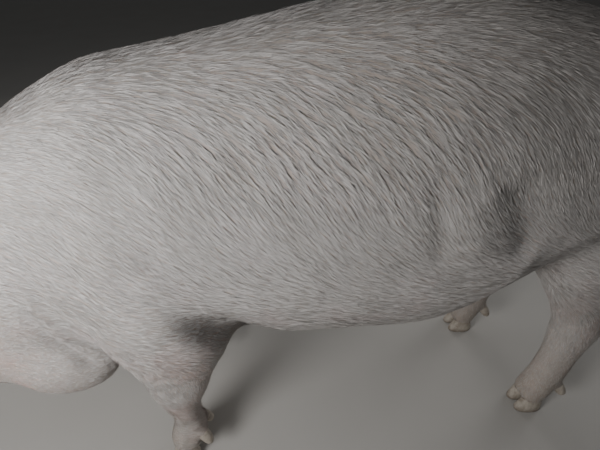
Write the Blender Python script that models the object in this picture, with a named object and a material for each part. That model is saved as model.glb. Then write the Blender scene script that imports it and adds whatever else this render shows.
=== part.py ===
# A standing white boar with its head lowered, life size, as a still model.
# Metres, +Z up. X runs from the nose to the tail, -Y is the boar's left side.
# The floor is z = 0, and the four feet stand round the origin.

import math

import bmesh
import bpy
import numpy as np
from mathutils import Matrix, Vector
from mathutils.bvhtree import BVHTree

# Driving sizes
wheelbase = 0.88  # fore foot to hind foot
withers_height = 0.893
back_height = 0.975  # top of the arched back
rump_height = 0.925
chest_floor = 0.335
belly_floor = 0.315
shoulder_half = 0.225  # half widths
barrel_half = 0.25
hip_half = 0.215
fore_track = 0.14  # half the distance between the feet
hind_track = 0.143
hind_step = 0.055  # the right hind foot stands this far ahead of the left
fore_step = 0.03  # the right fore foot stands this far behind the left
head_pitch = math.radians(23)  # nose down
head_length = 0.44  # snout disc to poll
poll_rise = 0.214  # poll above the line of the snout
poll_place = Vector((-0.80, 0.0, 0.645))
gap = 0.0003  # between nodes that meet
flesh_triangles = 5600
coronet_slant = 0.40  # the skin ends higher at the front of a foot than at its heel
tail_root = Vector((0.628, 0.0, 0.795))
ear_length = 0.255
eye_radius = 0.0128
eye_reach = 0.272  # from the snout disc back
eye_rise = 0.080
eye_depth = 0.0095  # centre of the eyeball under the hide
mouth_back = 0.185  # the mouth line turns round this point
mouth_level = -0.034
mouth_turn = math.radians(74)
mouth_drop = 0.135

fore_x = -wheelbase / 2
hind_x = wheelbase / 2

hide_colour = (0.72, 0.66, 0.62, 1)
snout_colour = (0.66, 0.45, 0.42, 1)
horn_colour = (0.36, 0.30, 0.23, 1)
eye_colour = (0.03, 0.02, 0.015, 1)


def clear_scene():
    for old in list(bpy.data.objects):
        bpy.data.objects.remove(old)


def material(name, colour, roughness):
    made = bpy.data.materials.new(name)
    made.use_nodes = True
    shader = made.node_tree.nodes["Principled BSDF"]
    shader.inputs["Base Color"].default_value = colour
    shader.inputs["Roughness"].default_value = roughness
    shader.inputs["Metallic"].default_value = 0.0
    return made


def read_between(keys, places):
    """Reads the columns of keys as smooth curves over its first column."""
    keys = np.array(keys, float)
    x, y = keys[:, 0], keys[:, 1:]
    rise = np.diff(y, axis=0) / np.diff(x)[:, None]
    slope = np.zeros_like(y)
    product = rise[:-1] * rise[1:]
    total = rise[:-1] + rise[1:]
    total[total == 0] = 1
    slope[1:-1] = np.where(product > 0, 2 * product / total, 0)
    slope[0], slope[-1] = rise[0], rise[-1]
    places = np.asarray(places, float)
    i = np.clip(np.searchsorted(x, places) - 1, 0, len(x) - 2)
    h = (x[i + 1] - x[i])[:, None]
    t = (places - x[i])[:, None] / h
    return (
        y[i] * (2 * t**3 - 3 * t**2 + 1)
        + slope[i] * h * (t**3 - 2 * t**2 + t)
        + y[i + 1] * (3 * t**2 - 2 * t**3)
        + slope[i + 1] * h * (t**3 - t**2)
    )


def new_object(bm, name):
    bmesh.ops.recalc_face_normals(bm, faces=bm.faces)
    bmesh.ops.triangulate(bm, faces=bm.faces)
    mesh = bpy.data.meshes.new(name)
    bm.to_mesh(mesh)
    bm.free()
    made = bpy.data.objects.new(name, mesh)
    bpy.context.scene.collection.objects.link(made)
    return made


def loft(name, rings, sides=28, square=2.2):
    """Skins rings of (centre, across, up, half across, reach up, reach down)."""
    bm = bmesh.new()
    loops = []
    for centre, across, up, half, above, below in rings:
        ring = bmesh.ops.create_circle(bm, segments=sides, radius=1.0)["verts"]
        for v in ring:
            a = math.atan2(v.co.y, v.co.x)
            c, s = math.cos(a), math.sin(a)
            side = math.copysign(abs(c) ** (2 / square), c) * half
            lift = math.copysign(abs(s) ** (2 / square), s)
            lift *= above if s > 0 else below
            v.co = Vector(centre) + Vector(across) * side + Vector(up) * lift
        loops.append(list({e for v in ring for e in v.link_edges}))
    for first, second in zip(loops, loops[1:]):
        bmesh.ops.bridge_loops(bm, edges=first + second)
    for end in (loops[0], loops[-1]):
        bmesh.ops.contextual_create(bm, geom=end)
    return new_object(bm, name)


def ellipsoid(name, centre, radii, turn=Matrix.Identity(3), detail=3):
    bm = bmesh.new()
    place = Matrix.Translation(centre) @ turn.to_4x4() @ Matrix.Diagonal((*radii, 1))
    bmesh.ops.create_icosphere(bm, subdivisions=detail, radius=1.0, matrix=place)
    return new_object(bm, name)


def turned(pitch=0.0, yaw=0.0, roll=0.0):
    """Degrees: pitch lowers -X, yaw turns about Z, roll about X."""
    return (
        Matrix.Rotation(math.radians(yaw), 3, "Z")
        @ Matrix.Rotation(math.radians(-pitch), 3, "Y")
        @ Matrix.Rotation(math.radians(roll), 3, "X")
    )


def evaluated_copy(source, name):
    graph = bpy.context.evaluated_depsgraph_get()
    mesh = bpy.data.meshes.new_from_object(source.evaluated_get(graph))
    made = bpy.data.objects.new(name, mesh)
    bpy.context.scene.collection.objects.link(made)
    return made


def remove(*objects):
    for old in objects:
        bpy.data.objects.remove(old)


def baked(source, name):
    """The evaluated mesh of source as a plain object that takes its place."""
    made = evaluated_copy(source, name)
    remove(source)
    made.name = name
    bm = bmesh.new()
    bm.from_mesh(made.data)
    bmesh.ops.triangulate(bm, faces=bm.faces)
    bm.to_mesh(made.data)
    bm.free()
    return made


def combine(first, others, operation, solver="EXACT"):
    """One Boolean of first with a collection of closed objects, applied."""
    group = bpy.data.collections.new("tools")
    for other in others:
        group.objects.link(other)
    boolean = first.modifiers.new("join", "BOOLEAN")
    boolean.operand_type = "COLLECTION"
    boolean.collection = group
    boolean.operation = operation
    boolean.solver = solver
    made = baked(first, first.name)
    bpy.data.collections.remove(group)
    remove(*others)
    return made


def trunk_rings():
    # place along the body, top, widest level, bottom, half width
    keys = [
        (fore_x - 0.20, 0.78, 0.59, 0.42, 0.12),
        (fore_x - 0.15, 0.835, 0.59, 0.365, 0.175),
        (fore_x - 0.07, 0.875, 0.59, 0.342, 0.21),
        (fore_x + 0.03, withers_height, 0.59, chest_floor, shoulder_half),
        (fore_x + 0.16, 0.918, 0.59, chest_floor - 0.005, shoulder_half + 0.01),
        (fore_x + 0.33, 0.954, 0.595, belly_floor + 0.005, barrel_half),
        (fore_x + 0.50, back_height, 0.60, belly_floor + 0.003, barrel_half + 0.008),
        (fore_x + 0.59, back_height + 0.002, 0.605, belly_floor + 0.04, barrel_half + 0.005),
        (fore_x + 0.66, back_height - 0.006, 0.61, belly_floor + 0.095, barrel_half - 0.003),
        (fore_x + 0.74, back_height - 0.022, 0.63, 0.475, barrel_half - 0.01),
        (hind_x - 0.02, rump_height - 0.008, 0.66, 0.51, hip_half + 0.01),
        (hind_x + 0.10, 0.868, 0.68, 0.53, hip_half - 0.045),
        (hind_x + 0.17, 0.808, 0.69, 0.58, 0.118),
        (hind_x + 0.20, 0.765, 0.69, 0.63, 0.075),
        (hind_x + 0.212, 0.72, 0.69, 0.665, 0.04),
    ]
    places = np.linspace(keys[0][0], keys[-1][0], 40)
    rings = []
    for x, (top, wide, bottom, half) in zip(places, read_between(keys, places)):
        rings.append(((x, 0, wide), (0, 1, 0), (0, 0, 1), half, top - wide, wide - bottom))
    return rings


def neck_rings():
    # step, centre x, centre z, pitch in degrees, up, down, half width
    keys = [
        (0, fore_x + 0.02, 0.60, 0, 0.275, 0.255, 0.21),
        (1, fore_x - 0.09, 0.585, 12, 0.262, 0.250, 0.205),
        (2, fore_x - 0.18, 0.555, 20, 0.222, 0.240, 0.195),
        (3, fore_x - 0.26, 0.52, 25, 0.185, 0.230, 0.182),
        (4, fore_x - 0.345, 0.485, 26, 0.145, 0.210, 0.162),
    ]
    rings = []
    for x, z, pitch, above, below, half in read_between(keys, np.linspace(0, 4, 15)):
        a = math.radians(pitch)
        up = (-math.sin(a), 0, math.cos(a))
        rings.append(((x, 0, z), (0, 1, 0), up, half, above, below))
    return rings


def head_matrix():
    """Head frame: +X from the nose back, +Z up, origin at the snout disc."""
    poll_local = Vector((head_length, 0, poll_rise))
    turn = Matrix.Rotation(-head_pitch, 4, "Y")
    return Matrix.Translation(poll_place - turn @ poll_local) @ turn


def head_rings():
    # from the snout back: top, bottom, half width
    keys = [
        (0.0, 0.051, 0.047, 0.055),
        (0.03, 0.057, 0.053, 0.060),
        (0.07, 0.062, 0.060, 0.068),
        (0.12, 0.069, 0.072, 0.082),
        (0.17, 0.083, 0.090, 0.099),
        (0.22, 0.112, 0.110, 0.118),
        (0.27, 0.152, 0.132, 0.136),
        (0.32, 0.188, 0.152, 0.151),
        (0.38, 0.212, 0.168, 0.162),
        (head_length, poll_rise, 0.178, 0.167),
        (0.49, 0.190, 0.182, 0.160),
        (0.53, 0.145, 0.165, 0.138),
    ]
    place = head_matrix()
    turn = place.to_3x3()
    across, up = turn @ Vector((0, 1, 0)), turn @ Vector((0, 0, 1))
    rings = []
    places = np.linspace(0, keys[-1][0], 30)
    for s, (top, bottom, half) in zip(places, read_between(keys, places)):
        rings.append((place @ Vector((s, 0, 0)), across, up, half, top, bottom))
    return rings


def jaw_rings():
    """The lower jaw, narrower than the muzzle above it."""
    # from the snout back: top, bottom, half width
    keys = [
        (0.024, 0.0, 0.050, 0.022),
        (0.032, 0.0, 0.064, 0.034),
        (0.055, 0.0, 0.080, 0.047),
        (0.09, 0.0, 0.093, 0.058),
        (0.14, 0.0, 0.107, 0.072),
        (0.20, 0.0, 0.124, 0.090),
        (0.27, 0.0, 0.142, 0.106),
        (0.34, 0.0, 0.160, 0.118),
    ]
    place = head_matrix()
    turn = place.to_3x3()
    across, up = turn @ Vector((0, 1, 0)), turn @ Vector((0, 0, 1))
    rings = []
    places = np.linspace(keys[0][0], keys[-1][0], 22)
    for s, (top, bottom, half) in zip(places, read_between(keys, places)):
        rings.append((place @ Vector((s, 0, 0)), across, up, half, top + 0.01, bottom))
    return rings


def foreleg_rings(side, shift):
    # height, place along the body, out from the middle, reach forward, back, half width
    keys = [
        (0.030, fore_x - 0.004, 0.0, 0.038, 0.032, 0.039),
        (0.048, fore_x + 0.000, 0.0, 0.041, 0.039, 0.042),
        (0.075, fore_x + 0.008, 0.0, 0.041, 0.046, 0.042),
        (0.105, fore_x + 0.014, 0.0, 0.036, 0.043, 0.039),
        (0.140, fore_x + 0.012, 0.0, 0.033, 0.035, 0.036),
        (0.180, fore_x + 0.008, 0.0, 0.042, 0.044, 0.041),
        (0.225, fore_x + 0.004, 0.003, 0.053, 0.065, 0.049),
        (0.275, fore_x + 0.004, 0.008, 0.062, 0.085, 0.054),
        (0.335, fore_x + 0.006, 0.014, 0.082, 0.112, 0.063),
        (0.400, fore_x + 0.008, 0.022, 0.108, 0.134, 0.072),
        (0.480, fore_x + 0.006, 0.026, 0.125, 0.138, 0.076),
        (0.580, fore_x + 0.004, 0.018, 0.120, 0.125, 0.068),
    ]
    rings = []
    places = np.linspace(keys[0][0], keys[-1][0], 30)
    for z, (x, out, front, back, half) in zip(places, read_between(keys, places)):
        spread = side * (fore_track + out)
        slant = coronet_slant * max(0.0, 1 - (z - keys[0][0]) / 0.04)
        forward = Vector((-1, 0, slant)).normalized()
        rings.append(((x + shift, spread, z), (0, 1, 0), forward, half, front, back))
    return rings


def hindleg_rings(side, shift):
    keys = [
        (0.030, hind_x - 0.014, 0.0, 0.038, 0.034, 0.039),
        (0.050, hind_x - 0.008, 0.0, 0.041, 0.040, 0.042),
        (0.085, hind_x + 0.004, 0.0, 0.041, 0.049, 0.042),
        (0.120, hind_x + 0.016, 0.0, 0.041, 0.047, 0.040),
        (0.170, hind_x + 0.026, 0.0, 0.044, 0.044, 0.040),
        (0.225, hind_x + 0.034, 0.0, 0.054, 0.050, 0.043),
        (0.285, hind_x + 0.040, 0.002, 0.068, 0.062, 0.049),
        (0.330, hind_x + 0.024, 0.004, 0.074, 0.070, 0.052),
        (0.390, hind_x + 0.000, 0.008, 0.086, 0.088, 0.060),
        (0.460, hind_x - 0.016, 0.010, 0.105, 0.122, 0.073),
        (0.540, hind_x - 0.022, 0.006, 0.132, 0.165, 0.085),
        (0.640, hind_x - 0.005, -0.010, 0.160, 0.178, 0.085),
    ]
    rings = []
    places = np.linspace(keys[0][0], keys[-1][0], 34)
    for z, (x, out, front, back, half) in zip(places, read_between(keys, places)):
        # the thigh stays on the hip while the foot steps forward
        held = max(0.0, min(1.0, (0.60 - z) / 0.35))
        spread = side * (hind_track + out)
        place = (x + shift * held, spread, z)
        slant = coronet_slant * max(0.0, 1 - (z - keys[0][0]) / 0.04)
        forward = Vector((-1, 0, slant)).normalized()
        rings.append((place, (0, 1, 0), forward, half, front, back))
    return rings


def step_of(side, fore):
    """The right fore foot stands back and the right hind foot ahead."""
    if side < 0:
        return 0.0
    return fore_step if fore else -hind_step


def core_pieces():
    """The heavy masses, which blend widely."""
    head = head_matrix()
    tilt = head.to_3x3()
    pieces = [
        loft("trunk", trunk_rings(), 36, 2.25),
        loft("neck", neck_rings(), 36, 2.2),
        loft("skull", head_rings()[8:], 32, 2.3),
        loft("jaw", jaw_rings()[10:], 28, 2.5),
        ellipsoid("dewlap", (fore_x - 0.15, 0, 0.385), (0.13, 0.10, 0.07), turned(8)),
        ellipsoid("sheath", (0.10, 0, belly_floor + 0.016), (0.10, 0.030, 0.026), turned(12)),
        ellipsoid("throat", (fore_x - 0.215, 0, 0.335), (0.125, 0.085, 0.10)),
    ]
    for side in (-1, 1):
        fore = foreleg_rings(side, step_of(side, True))
        hind = hindleg_rings(side, step_of(side, False))
        pieces += [
            loft("foreleg", fore[12:], 24, 2.1),
            loft("hindleg", hind[14:], 24, 2.1),
            ellipsoid(
                "shoulder", (fore_x + 0.0, side * 0.135, 0.56), (0.165, 0.098, 0.23), turned(18)
            ),
            ellipsoid(
                "ham",
                (hind_x + 0.012, side * 0.116, 0.61),
                (0.185, 0.108, 0.235),
                turned(yaw=-8 * side),
            ),
            ellipsoid(
                "flank", (hind_x - 0.225, side * 0.175, 0.52), (0.12, 0.035, 0.04), turned(36)
            ),
            ellipsoid("elbow", (fore_x + 0.11, side * 0.168, 0.42), (0.05, 0.04, 0.055)),
            ellipsoid("jowl", (fore_x - 0.21, side * 0.078, 0.328), (0.13, 0.092, 0.122)),
            ellipsoid(
                "cheek", head @ Vector((0.35, side * 0.088, -0.03)), (0.13, 0.068, 0.125), tilt
            ),
        ]
    return pieces


def sunk(rings, count, least):
    """The last rings shrink step by step, so that the end lies under the flesh."""
    made = list(rings)
    for i in range(count):
        share = 1 - (1 - least) * (i + 1) / count
        centre, across, up, half, above, below = made[i - count]
        made[i - count] = (centre, across, up, half * share, above * share, below * share)
    return made


def lean_pieces():
    """The muzzle and the lower legs, which keep their own shape."""
    pieces = [
        loft("muzzle", sunk(head_rings()[:26], 10, 0.86), 32, 2.3),
        loft("jaw", sunk(jaw_rings(), 6, 0.80), 28, 2.5),
    ]
    for side in (-1, 1):
        fore = foreleg_rings(side, step_of(side, True))[:20]
        hind = hindleg_rings(side, step_of(side, False))[:22]
        pieces += [
            loft("foreleg", sunk(fore, 7, 0.80), 24, 2.1),
            loft("hindleg", sunk(hind, 7, 0.80), 24, 2.1),
        ]
    return pieces


def fuse(pieces, name, size, rounds):
    """Joins closed pieces, then skins them as one smooth body."""
    whole = combine(pieces[0], pieces[1:], "UNION")
    whole.name = name
    remesh = whole.modifiers.new("skin", "REMESH")
    remesh.mode = "VOXEL"
    remesh.voxel_size = size
    smooth = whole.modifiers.new("ease", "SMOOTH")
    smooth.factor = 0.5
    smooth.iterations = rounds
    return baked(whole, name)


def sheet(name, across, along, shape, thickness):
    """A grid bent by shape(u, v), u from 0 to 1 and v from -1 to 1, made thick."""
    bm = bmesh.new()
    bmesh.ops.create_grid(bm, x_segments=along, y_segments=across, size=1.0)
    for v in bm.verts:
        v.co = shape((v.co.x + 1) / 2, v.co.y)
    made = new_object(bm, name)
    thick = made.modifiers.new("thick", "SOLIDIFY")
    thick.thickness = thickness
    thick.offset = 0.0
    return baked(made, name)


def keep_largest(target):
    """Drops every closed surface but the largest, by its number of points."""
    bm = bmesh.new()
    bm.from_mesh(target.data)
    left, shells = set(bm.verts), []
    while left:
        front = [left.pop()]
        shell = list(front)
        while front:
            here = front.pop()
            fresh = {e.other_vert(here) for e in here.link_edges} & left
            left.difference_update(fresh)
            front += fresh
            shell += fresh
        shells.append(shell)
    shells.sort(key=len)
    spare = [v for shell in shells[:-1] for v in shell]
    bmesh.ops.delete(bm, geom=spare, context="VERTS")
    bm.to_mesh(target.data)
    bm.free()
    return target


def grown(source, distance=gap):
    """A copy of source moved outwards by distance."""
    copy = source.copy()
    copy.data = source.data.copy()
    bpy.context.scene.collection.objects.link(copy)
    push = copy.modifiers.new("push", "DISPLACE")
    push.strength = distance
    push.mid_level = 0.0
    return baked(copy, source.name + " grown")


def cut_by(target, others, distance=gap):
    """Takes the others, grown by the gap, from target."""
    tools = [grown(other, distance) for other in others]
    return keep_largest(combine(target, tools, "DIFFERENCE"))


def outset(outline, distance):
    """A closed outline moved outwards by distance along both edges of each corner."""
    points = [Vector(p) for p in outline]
    area = sum(a.cross(b) for a, b in zip(points, points[1:] + points[:1]))
    turn = math.copysign(1.0, area)
    made = []
    for i, here in enumerate(points):
        before = (here - points[i - 1]).normalized()
        after = (points[(i + 1) % len(points)] - here).normalized()
        out_before = Vector((before.y, -before.x)) * turn
        out_after = Vector((after.y, -after.x)) * turn
        middle = (out_before + out_after).normalized()
        made.append(here + middle * distance / middle.dot(out_after))
    return made


def prism(name, outline, near, far, rise=0.0, distance=0.0):
    """A side outline of (x, z) carried from y near to y far, lifted by rise on the way."""
    way = math.copysign(distance, far - near)
    bm = bmesh.new()
    rings = []
    for y, lift in ((near - way, 0.0), (far + way, rise)):
        rings.append([bm.verts.new((p.x, y, p.y + lift)) for p in outset(outline, distance)])
    count = len(outline)
    for i in range(count):
        j = (i + 1) % count
        bm.faces.new((rings[0][i], rings[0][j], rings[1][j], rings[1][i]))
    for ring in rings:
        bm.faces.new(ring)
    bmesh.ops.triangulate(bm, faces=[f for f in bm.faces if len(f.verts) > 4])
    return new_object(bm, name)


def region_prisms(part, distance):
    """The blocks that hold one part of the body, moved out by distance."""
    head_outline = [
        (-1.4, 0.05),
        (-0.575, 0.05),
        (-0.535, 0.20),
        (-0.735, 0.70),
        (-0.80, 1.1),
        (-1.4, 1.1),
    ]
    neck_outline = [(-0.9, 0.2), (-0.585, 0.2), (-0.585, 0.38), (-0.50, 1.1), (-0.9, 1.1)]
    fore_outline = [(-0.60, -0.1), (-0.60, 0.345), (-0.27, 0.345), (-0.27, -0.1)]
    hind_outline = [
        (0.16, -0.1),
        (0.16, 0.36),
        (0.262, 0.47),
        (0.34, 0.53),
        (0.80, 0.53),
        (0.80, -0.1),
    ]
    if part == "head":
        return prism(part, head_outline, -0.4, 0.4, 0.0, distance)
    if part == "neck":
        return prism(part, neck_outline, -0.4, 0.4, 0.0, distance)
    side = -1 if part.endswith("left") else 1
    if part.startswith("foreleg"):
        return prism(part, fore_outline, side * 0.07, side * 0.30, 0.19, distance)
    return prism(part, hind_outline, side * 0.03, side * 0.30, 0.16, distance)


def divided(body):
    """The body as its parts, each a gap away from the next."""
    order = ["head", "foreleg_left", "foreleg_right", "hindleg_left", "hindleg_right", "neck"]
    parts = {}
    for i, part in enumerate(order + ["torso"]):
        piece = body.copy()
        piece.data = body.data.copy()
        bpy.context.scene.collection.objects.link(piece)
        piece.name = part
        tools = [region_prisms(earlier, gap) for earlier in order[:i]]
        for tool in tools:
            piece = combine(piece, [tool], "DIFFERENCE")
        if part != "torso":
            piece = combine(piece, [region_prisms(part, 0.0)], "INTERSECT")
        parts[part] = keep_largest(piece)
    remove(body)
    return parts


def surface_hit(tree, start, way):
    """Where a ray from start meets the body."""
    hit, normal, _, _ = tree.ray_cast(Vector(start), Vector(way).normalized())
    return hit, normal


def eye_frames(tree):
    """For each side: eye centre and a turn of (forward, out, up) columns."""
    place = head_matrix()
    turn = place.to_3x3()
    frames = {}
    for side in (-1, 1):
        start = place @ Vector((eye_reach, side * 0.4, eye_rise))
        hit, _ = surface_hit(tree, start, turn @ Vector((0, -side, 0)))
        out = turn @ Vector((-0.42, side * 0.86, 0.28)).normalized()
        forward = turn @ Vector((-1, -side * 0.35, -0.30))
        forward = (forward - out * forward.dot(out)).normalized()
        up = forward.cross(out) * -side
        axes = Matrix((forward, out, up)).transposed()
        frames[side] = (hit - out * eye_depth, axes)
    return frames


def lid_mounds(frames):
    """Lids and brow, as mounds round each eye."""
    pieces = []
    for side, (centre, axes) in frames.items():
        reach = centre + axes @ Vector((-0.001, 0.0005, 0.001))
        pieces.append(ellipsoid("lid", reach, (0.0250, 0.0156, 0.0185), axes, 2))
        brow = centre + axes @ Vector((-0.006, -0.006, 0.0190))
        pieces.append(ellipsoid("brow", brow, (0.034, 0.0135, 0.010), axes, 2))
    return pieces


def lid_slits(frames):
    """The opening between the lids of each eye, down to the eyeball."""
    pieces = []
    for side, (centre, axes) in frames.items():
        reach = centre + axes @ Vector((0.0, 0.014, -0.0005))
        pieces.append(ellipsoid("slit", reach, (0.0135, 0.0110, 0.0064), axes, 2))
    return pieces


def mouth_path(tree):
    """Points round the muzzle on the line of the mouth, with the way out of each."""
    place = head_matrix()
    turn = place.to_3x3()
    back = mouth_back
    points = []
    for angle in np.linspace(-mouth_turn, mouth_turn, 27):
        way = Vector((-math.cos(angle), math.sin(angle), -mouth_drop * math.cos(angle)))
        start = place @ Vector((back, 0, mouth_level))
        hit, _ = surface_hit(tree, start, turn @ way)
        points.append((hit, (turn @ way).normalized()))
    return points


def ribbon(name, path, inward, outward, thickness, up):
    """A thin closed band that follows the path, for the line of the mouth."""
    bm = bmesh.new()
    loops = []
    for point, way in path:
        corners = []
        for reach, lift in ((-inward, -1), (outward, -1), (outward, 1), (-inward, 1)):
            corners.append(bm.verts.new(point + way * reach + up * lift * thickness / 2))
        loops.append([bm.edges.new((corners[i], corners[(i + 1) % 4])) for i in range(4)])
    for first, second in zip(loops, loops[1:]):
        bmesh.ops.bridge_loops(bm, edges=first + second)
    for end in (loops[0], loops[-1]):
        bmesh.ops.contextual_create(bm, geom=end)
    return new_object(bm, name)


def tube(name, points, radii, sides=10):
    """A round tube through points, with one radius for each."""
    rings = []
    across = None
    for i, here in enumerate(points):
        way = points[min(i + 1, len(points) - 1)] - points[max(i - 1, 0)]
        way.normalize()
        if across is None:
            across = way.orthogonal().normalized()
        across = (across - way * across.dot(way)).normalized()
        rings.append((here, across, way.cross(across), radii[i], radii[i], radii[i]))
    return loft(name, rings, sides, 2.0)


def lip_tubes(path, up):
    """The rounded edges of both lips, above and below the mouth line."""
    pieces = []
    count = len(path) - 1
    for lift, sunk_in in ((0.0050, 0.0044), (-0.0050, 0.0044)):
        points, radii = [], []
        for i, (point, way) in enumerate(path):
            fade = min(1.0, i / 7, (count - i) / 7)
            points.append(point + up * lift * fade - way * (sunk_in + 0.0030 * (1 - fade)))
            radii.append(0.0026 + 0.0032 * fade)
        pieces.append(tube("lip", points, radii, 7))
    return pieces


def snout_disc():
    """The flat end of the snout, wider than it is high, with two nostrils."""
    place = head_matrix()
    turn = place.to_3x3()
    across, up = turn @ Vector((0, 1, 0)), turn @ Vector((0, 0, 1))
    # ahead of the muzzle, share of the full outline
    profile = [
        (0.0003, 0.95),
        (0.005, 1.00),
        (0.011, 1.015),
        (0.017, 0.985),
        (0.0205, 0.92),
        (0.022, 0.80),
    ]
    rings = []
    for ahead, share in profile:
        centre = place @ Vector((-ahead, 0, 0.0015))
        rings.append((centre, across, up, 0.0575 * share, 0.0505 * share, 0.0490 * share))
    disc = loft("snout", rings, 28, 2.35)
    tools = []
    for side in (-1, 1):
        centre = place @ Vector((-0.0225, side * 0.0205, 0.001))
        aim = turn @ turned(yaw=14 * side, pitch=-8)
        tools.append(ellipsoid("nostril", centre, (0.0185, 0.0092, 0.0132), aim, 2))
    return keep_largest(combine(disc, tools, "DIFFERENCE"))


def ear_frame(side):
    """Base of the ear and a turn of (across, opening, along) columns."""
    base = head_matrix() @ Vector((0.412, side * 0.105, 0.150))
    along = Vector((-0.20, side * 0.62, 0.76)).normalized()
    opening = Vector((-0.86, side * 0.40, -0.10))
    opening = (opening - along * opening.dot(along)).normalized()
    across = opening.cross(along) * side
    return base, Matrix((across, opening, along)).transposed()


def ear_shape(side, grow=0.0):
    """Where a point of the cupped ear lies, from root to tip and edge to edge."""
    base, axes = ear_frame(side)
    # along the ear, half width, half wrap
    keys = [
        (0.0, 0.050, 2.05),
        (0.15, 0.056, 1.80),
        (0.35, 0.067, 1.35),
        (0.55, 0.066, 1.05),
        (0.75, 0.051, 0.85),
        (0.90, 0.030, 0.75),
        (1.0, 0.007, 0.70),
    ]

    def place(u, v):
        width, wrap = read_between(keys, [u])[0]
        radius = (width + grow) / wrap
        sideways = radius * math.sin(v * wrap)
        forward = radius * (1 - math.cos(v * wrap)) - 0.018 * (1 - u) + 0.030 * u**2
        return base + axes @ Vector((sideways, forward, (u - 0.16) * ear_length))

    return place


def ear_roots():
    """The thick base of each ear, part of the head."""
    pieces = []
    for side in (-1, 1):
        base, axes = ear_frame(side)
        centre = base + axes @ Vector((0, -0.014, -0.024))
        pieces.append(ellipsoid("ear root", centre, (0.034, 0.028, 0.040), axes))
    return pieces


def tail_points(count=27):
    """A short straight root, then a curl."""
    axis = Vector((0.86, 0.22, -0.46)).normalized()
    lift = Vector((0.46, 0.0, 0.86)).normalized()
    lift = (lift - axis * lift.dot(axis)).normalized()
    flank = axis.cross(lift)
    points = [tail_root + Vector((-0.066 + 0.022 * i, 0, -0.012)) for i in range(3)]
    for i in range(count):
        t = i / (count - 1)
        radius = 0.032 * min(1.0, t * 3.0) * (1 - 0.25 * t)
        a = t * 1.5 * 2 * math.pi - 0.9
        swing = lift * math.cos(a) + flank * math.sin(a)
        points.append(tail_root + axis * (0.012 + 0.095 * t) + swing * radius)
    for _ in range(4):
        inner = [(a + b * 2 + c) / 4 for a, b, c in zip(points, points[1:], points[2:])]
        points = [points[0]] + inner + [points[-1]]
    return points


def tail():
    points = tail_points()
    last = len(points) - 1
    radii = [0.0185 - 0.0128 * (i / last) ** 0.75 for i in range(last + 1)]
    return tube("tail", points, radii, 10)


def scrotum():
    pieces = [
        ellipsoid("scrotum", (hind_x + 0.163, 0, 0.605), (0.054, 0.058, 0.074), turned(-12)),
        ellipsoid("neck", (hind_x + 0.150, 0, 0.665), (0.045, 0.050, 0.055), turned(-12)),
    ]
    for side in (-1, 1):
        centre = (hind_x + 0.172, side * 0.038, 0.600)
        pieces.append(ellipsoid("lobe", centre, (0.057, 0.046, 0.077), turned(-14)))
    whole = combine(pieces[0], pieces[1:], "UNION")
    remesh = whole.modifiers.new("skin", "REMESH")
    remesh.mode = "VOXEL"
    remesh.voxel_size = 0.006
    smooth = whole.modifiers.new("ease", "SMOOTH")
    smooth.factor = 0.5
    smooth.iterations = 9
    thin = whole.modifiers.new("thin", "DECIMATE")
    thin.ratio = 0.07
    return baked(whole, "scrotum")


def claw(name, toe, splay, size=1.0):
    """One main claw, flat on the floor, toe towards -X, round the point (x, y) toe."""
    # height, reach ahead, reach behind, half width
    keys = [
        (0.0, 0.0395, 0.0270, 0.0165),
        (0.004, 0.0395, 0.0285, 0.0178),
        (0.016, 0.0345, 0.0280, 0.0178),
        (0.030, 0.0270, 0.0250, 0.0170),
        (0.044, 0.0190, 0.0200, 0.0150),
        (0.050, 0.0120, 0.0140, 0.0110),
    ]
    turn = Matrix.Rotation(math.radians(splay), 3, "Z")
    rings = []
    for z, ahead, behind, half in keys:
        rings.append(
            (
                Vector((toe[0] + 0.006, toe[1], z * size)),
                turn @ Vector((0, 1, 0)),
                turn @ Vector((-1, 0, 0)),
                half * size,
                ahead * size,
                behind * size,
            )
        )
    return loft(name, rings, 14, 2.3)


def dewclaw(name, place, side):
    """One small claw behind the foot, its tip clear of the floor."""
    way = Vector((0.50, side * 0.26, -0.82)).normalized()
    start = Vector(place)
    points = [start + way * 0.038 * t for t in (0.0, 0.3, 0.6, 0.85, 1.0)]
    return tube(name, points, [0.0125, 0.0130, 0.0115, 0.0080, 0.0042], 8)


def claws_of(leg, x, y, outer, heel):
    """Two main claws and two small ones of one foot, outer being the outer side."""
    made = []
    for side in (-1, 1):
        which = "outer" if side == outer else "inner"
        toe = (x, y + side * 0.0198)
        made.append(claw(f"claw_{leg}_{which}", toe, 4 * side))
        small = (x + heel, y + side * 0.0220, 0.086)
        made.append(dewclaw(f"dewclaw_{leg}_{which}", small, side))
    return made


def thinned(body):
    body.data.calc_loop_triangles()
    thin = body.modifiers.new("thin", "DECIMATE")
    thin.ratio = flesh_triangles / len(body.data.loop_triangles)
    return baked(body, body.name)


def tree_of(target):
    return BVHTree.FromObject(target, bpy.context.evaluated_depsgraph_get())


def shared_shift(objects):
    """Moves all objects so that the middle of the whole box is over the origin."""
    corners = [v.co for made in objects for v in made.data.vertices]
    low = Vector([min(c[i] for c in corners) for i in range(3)])
    high = Vector([max(c[i] for c in corners) for i in range(3)])
    shift = Vector((-(low.x + high.x) / 2, -(low.y + high.y) / 2, -low.z))
    for made in objects:
        made.data.transform(Matrix.Translation(shift))
    print("shift", [round(v, 5) for v in shift], "size", [round(v, 4) for v in high - low])


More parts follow.
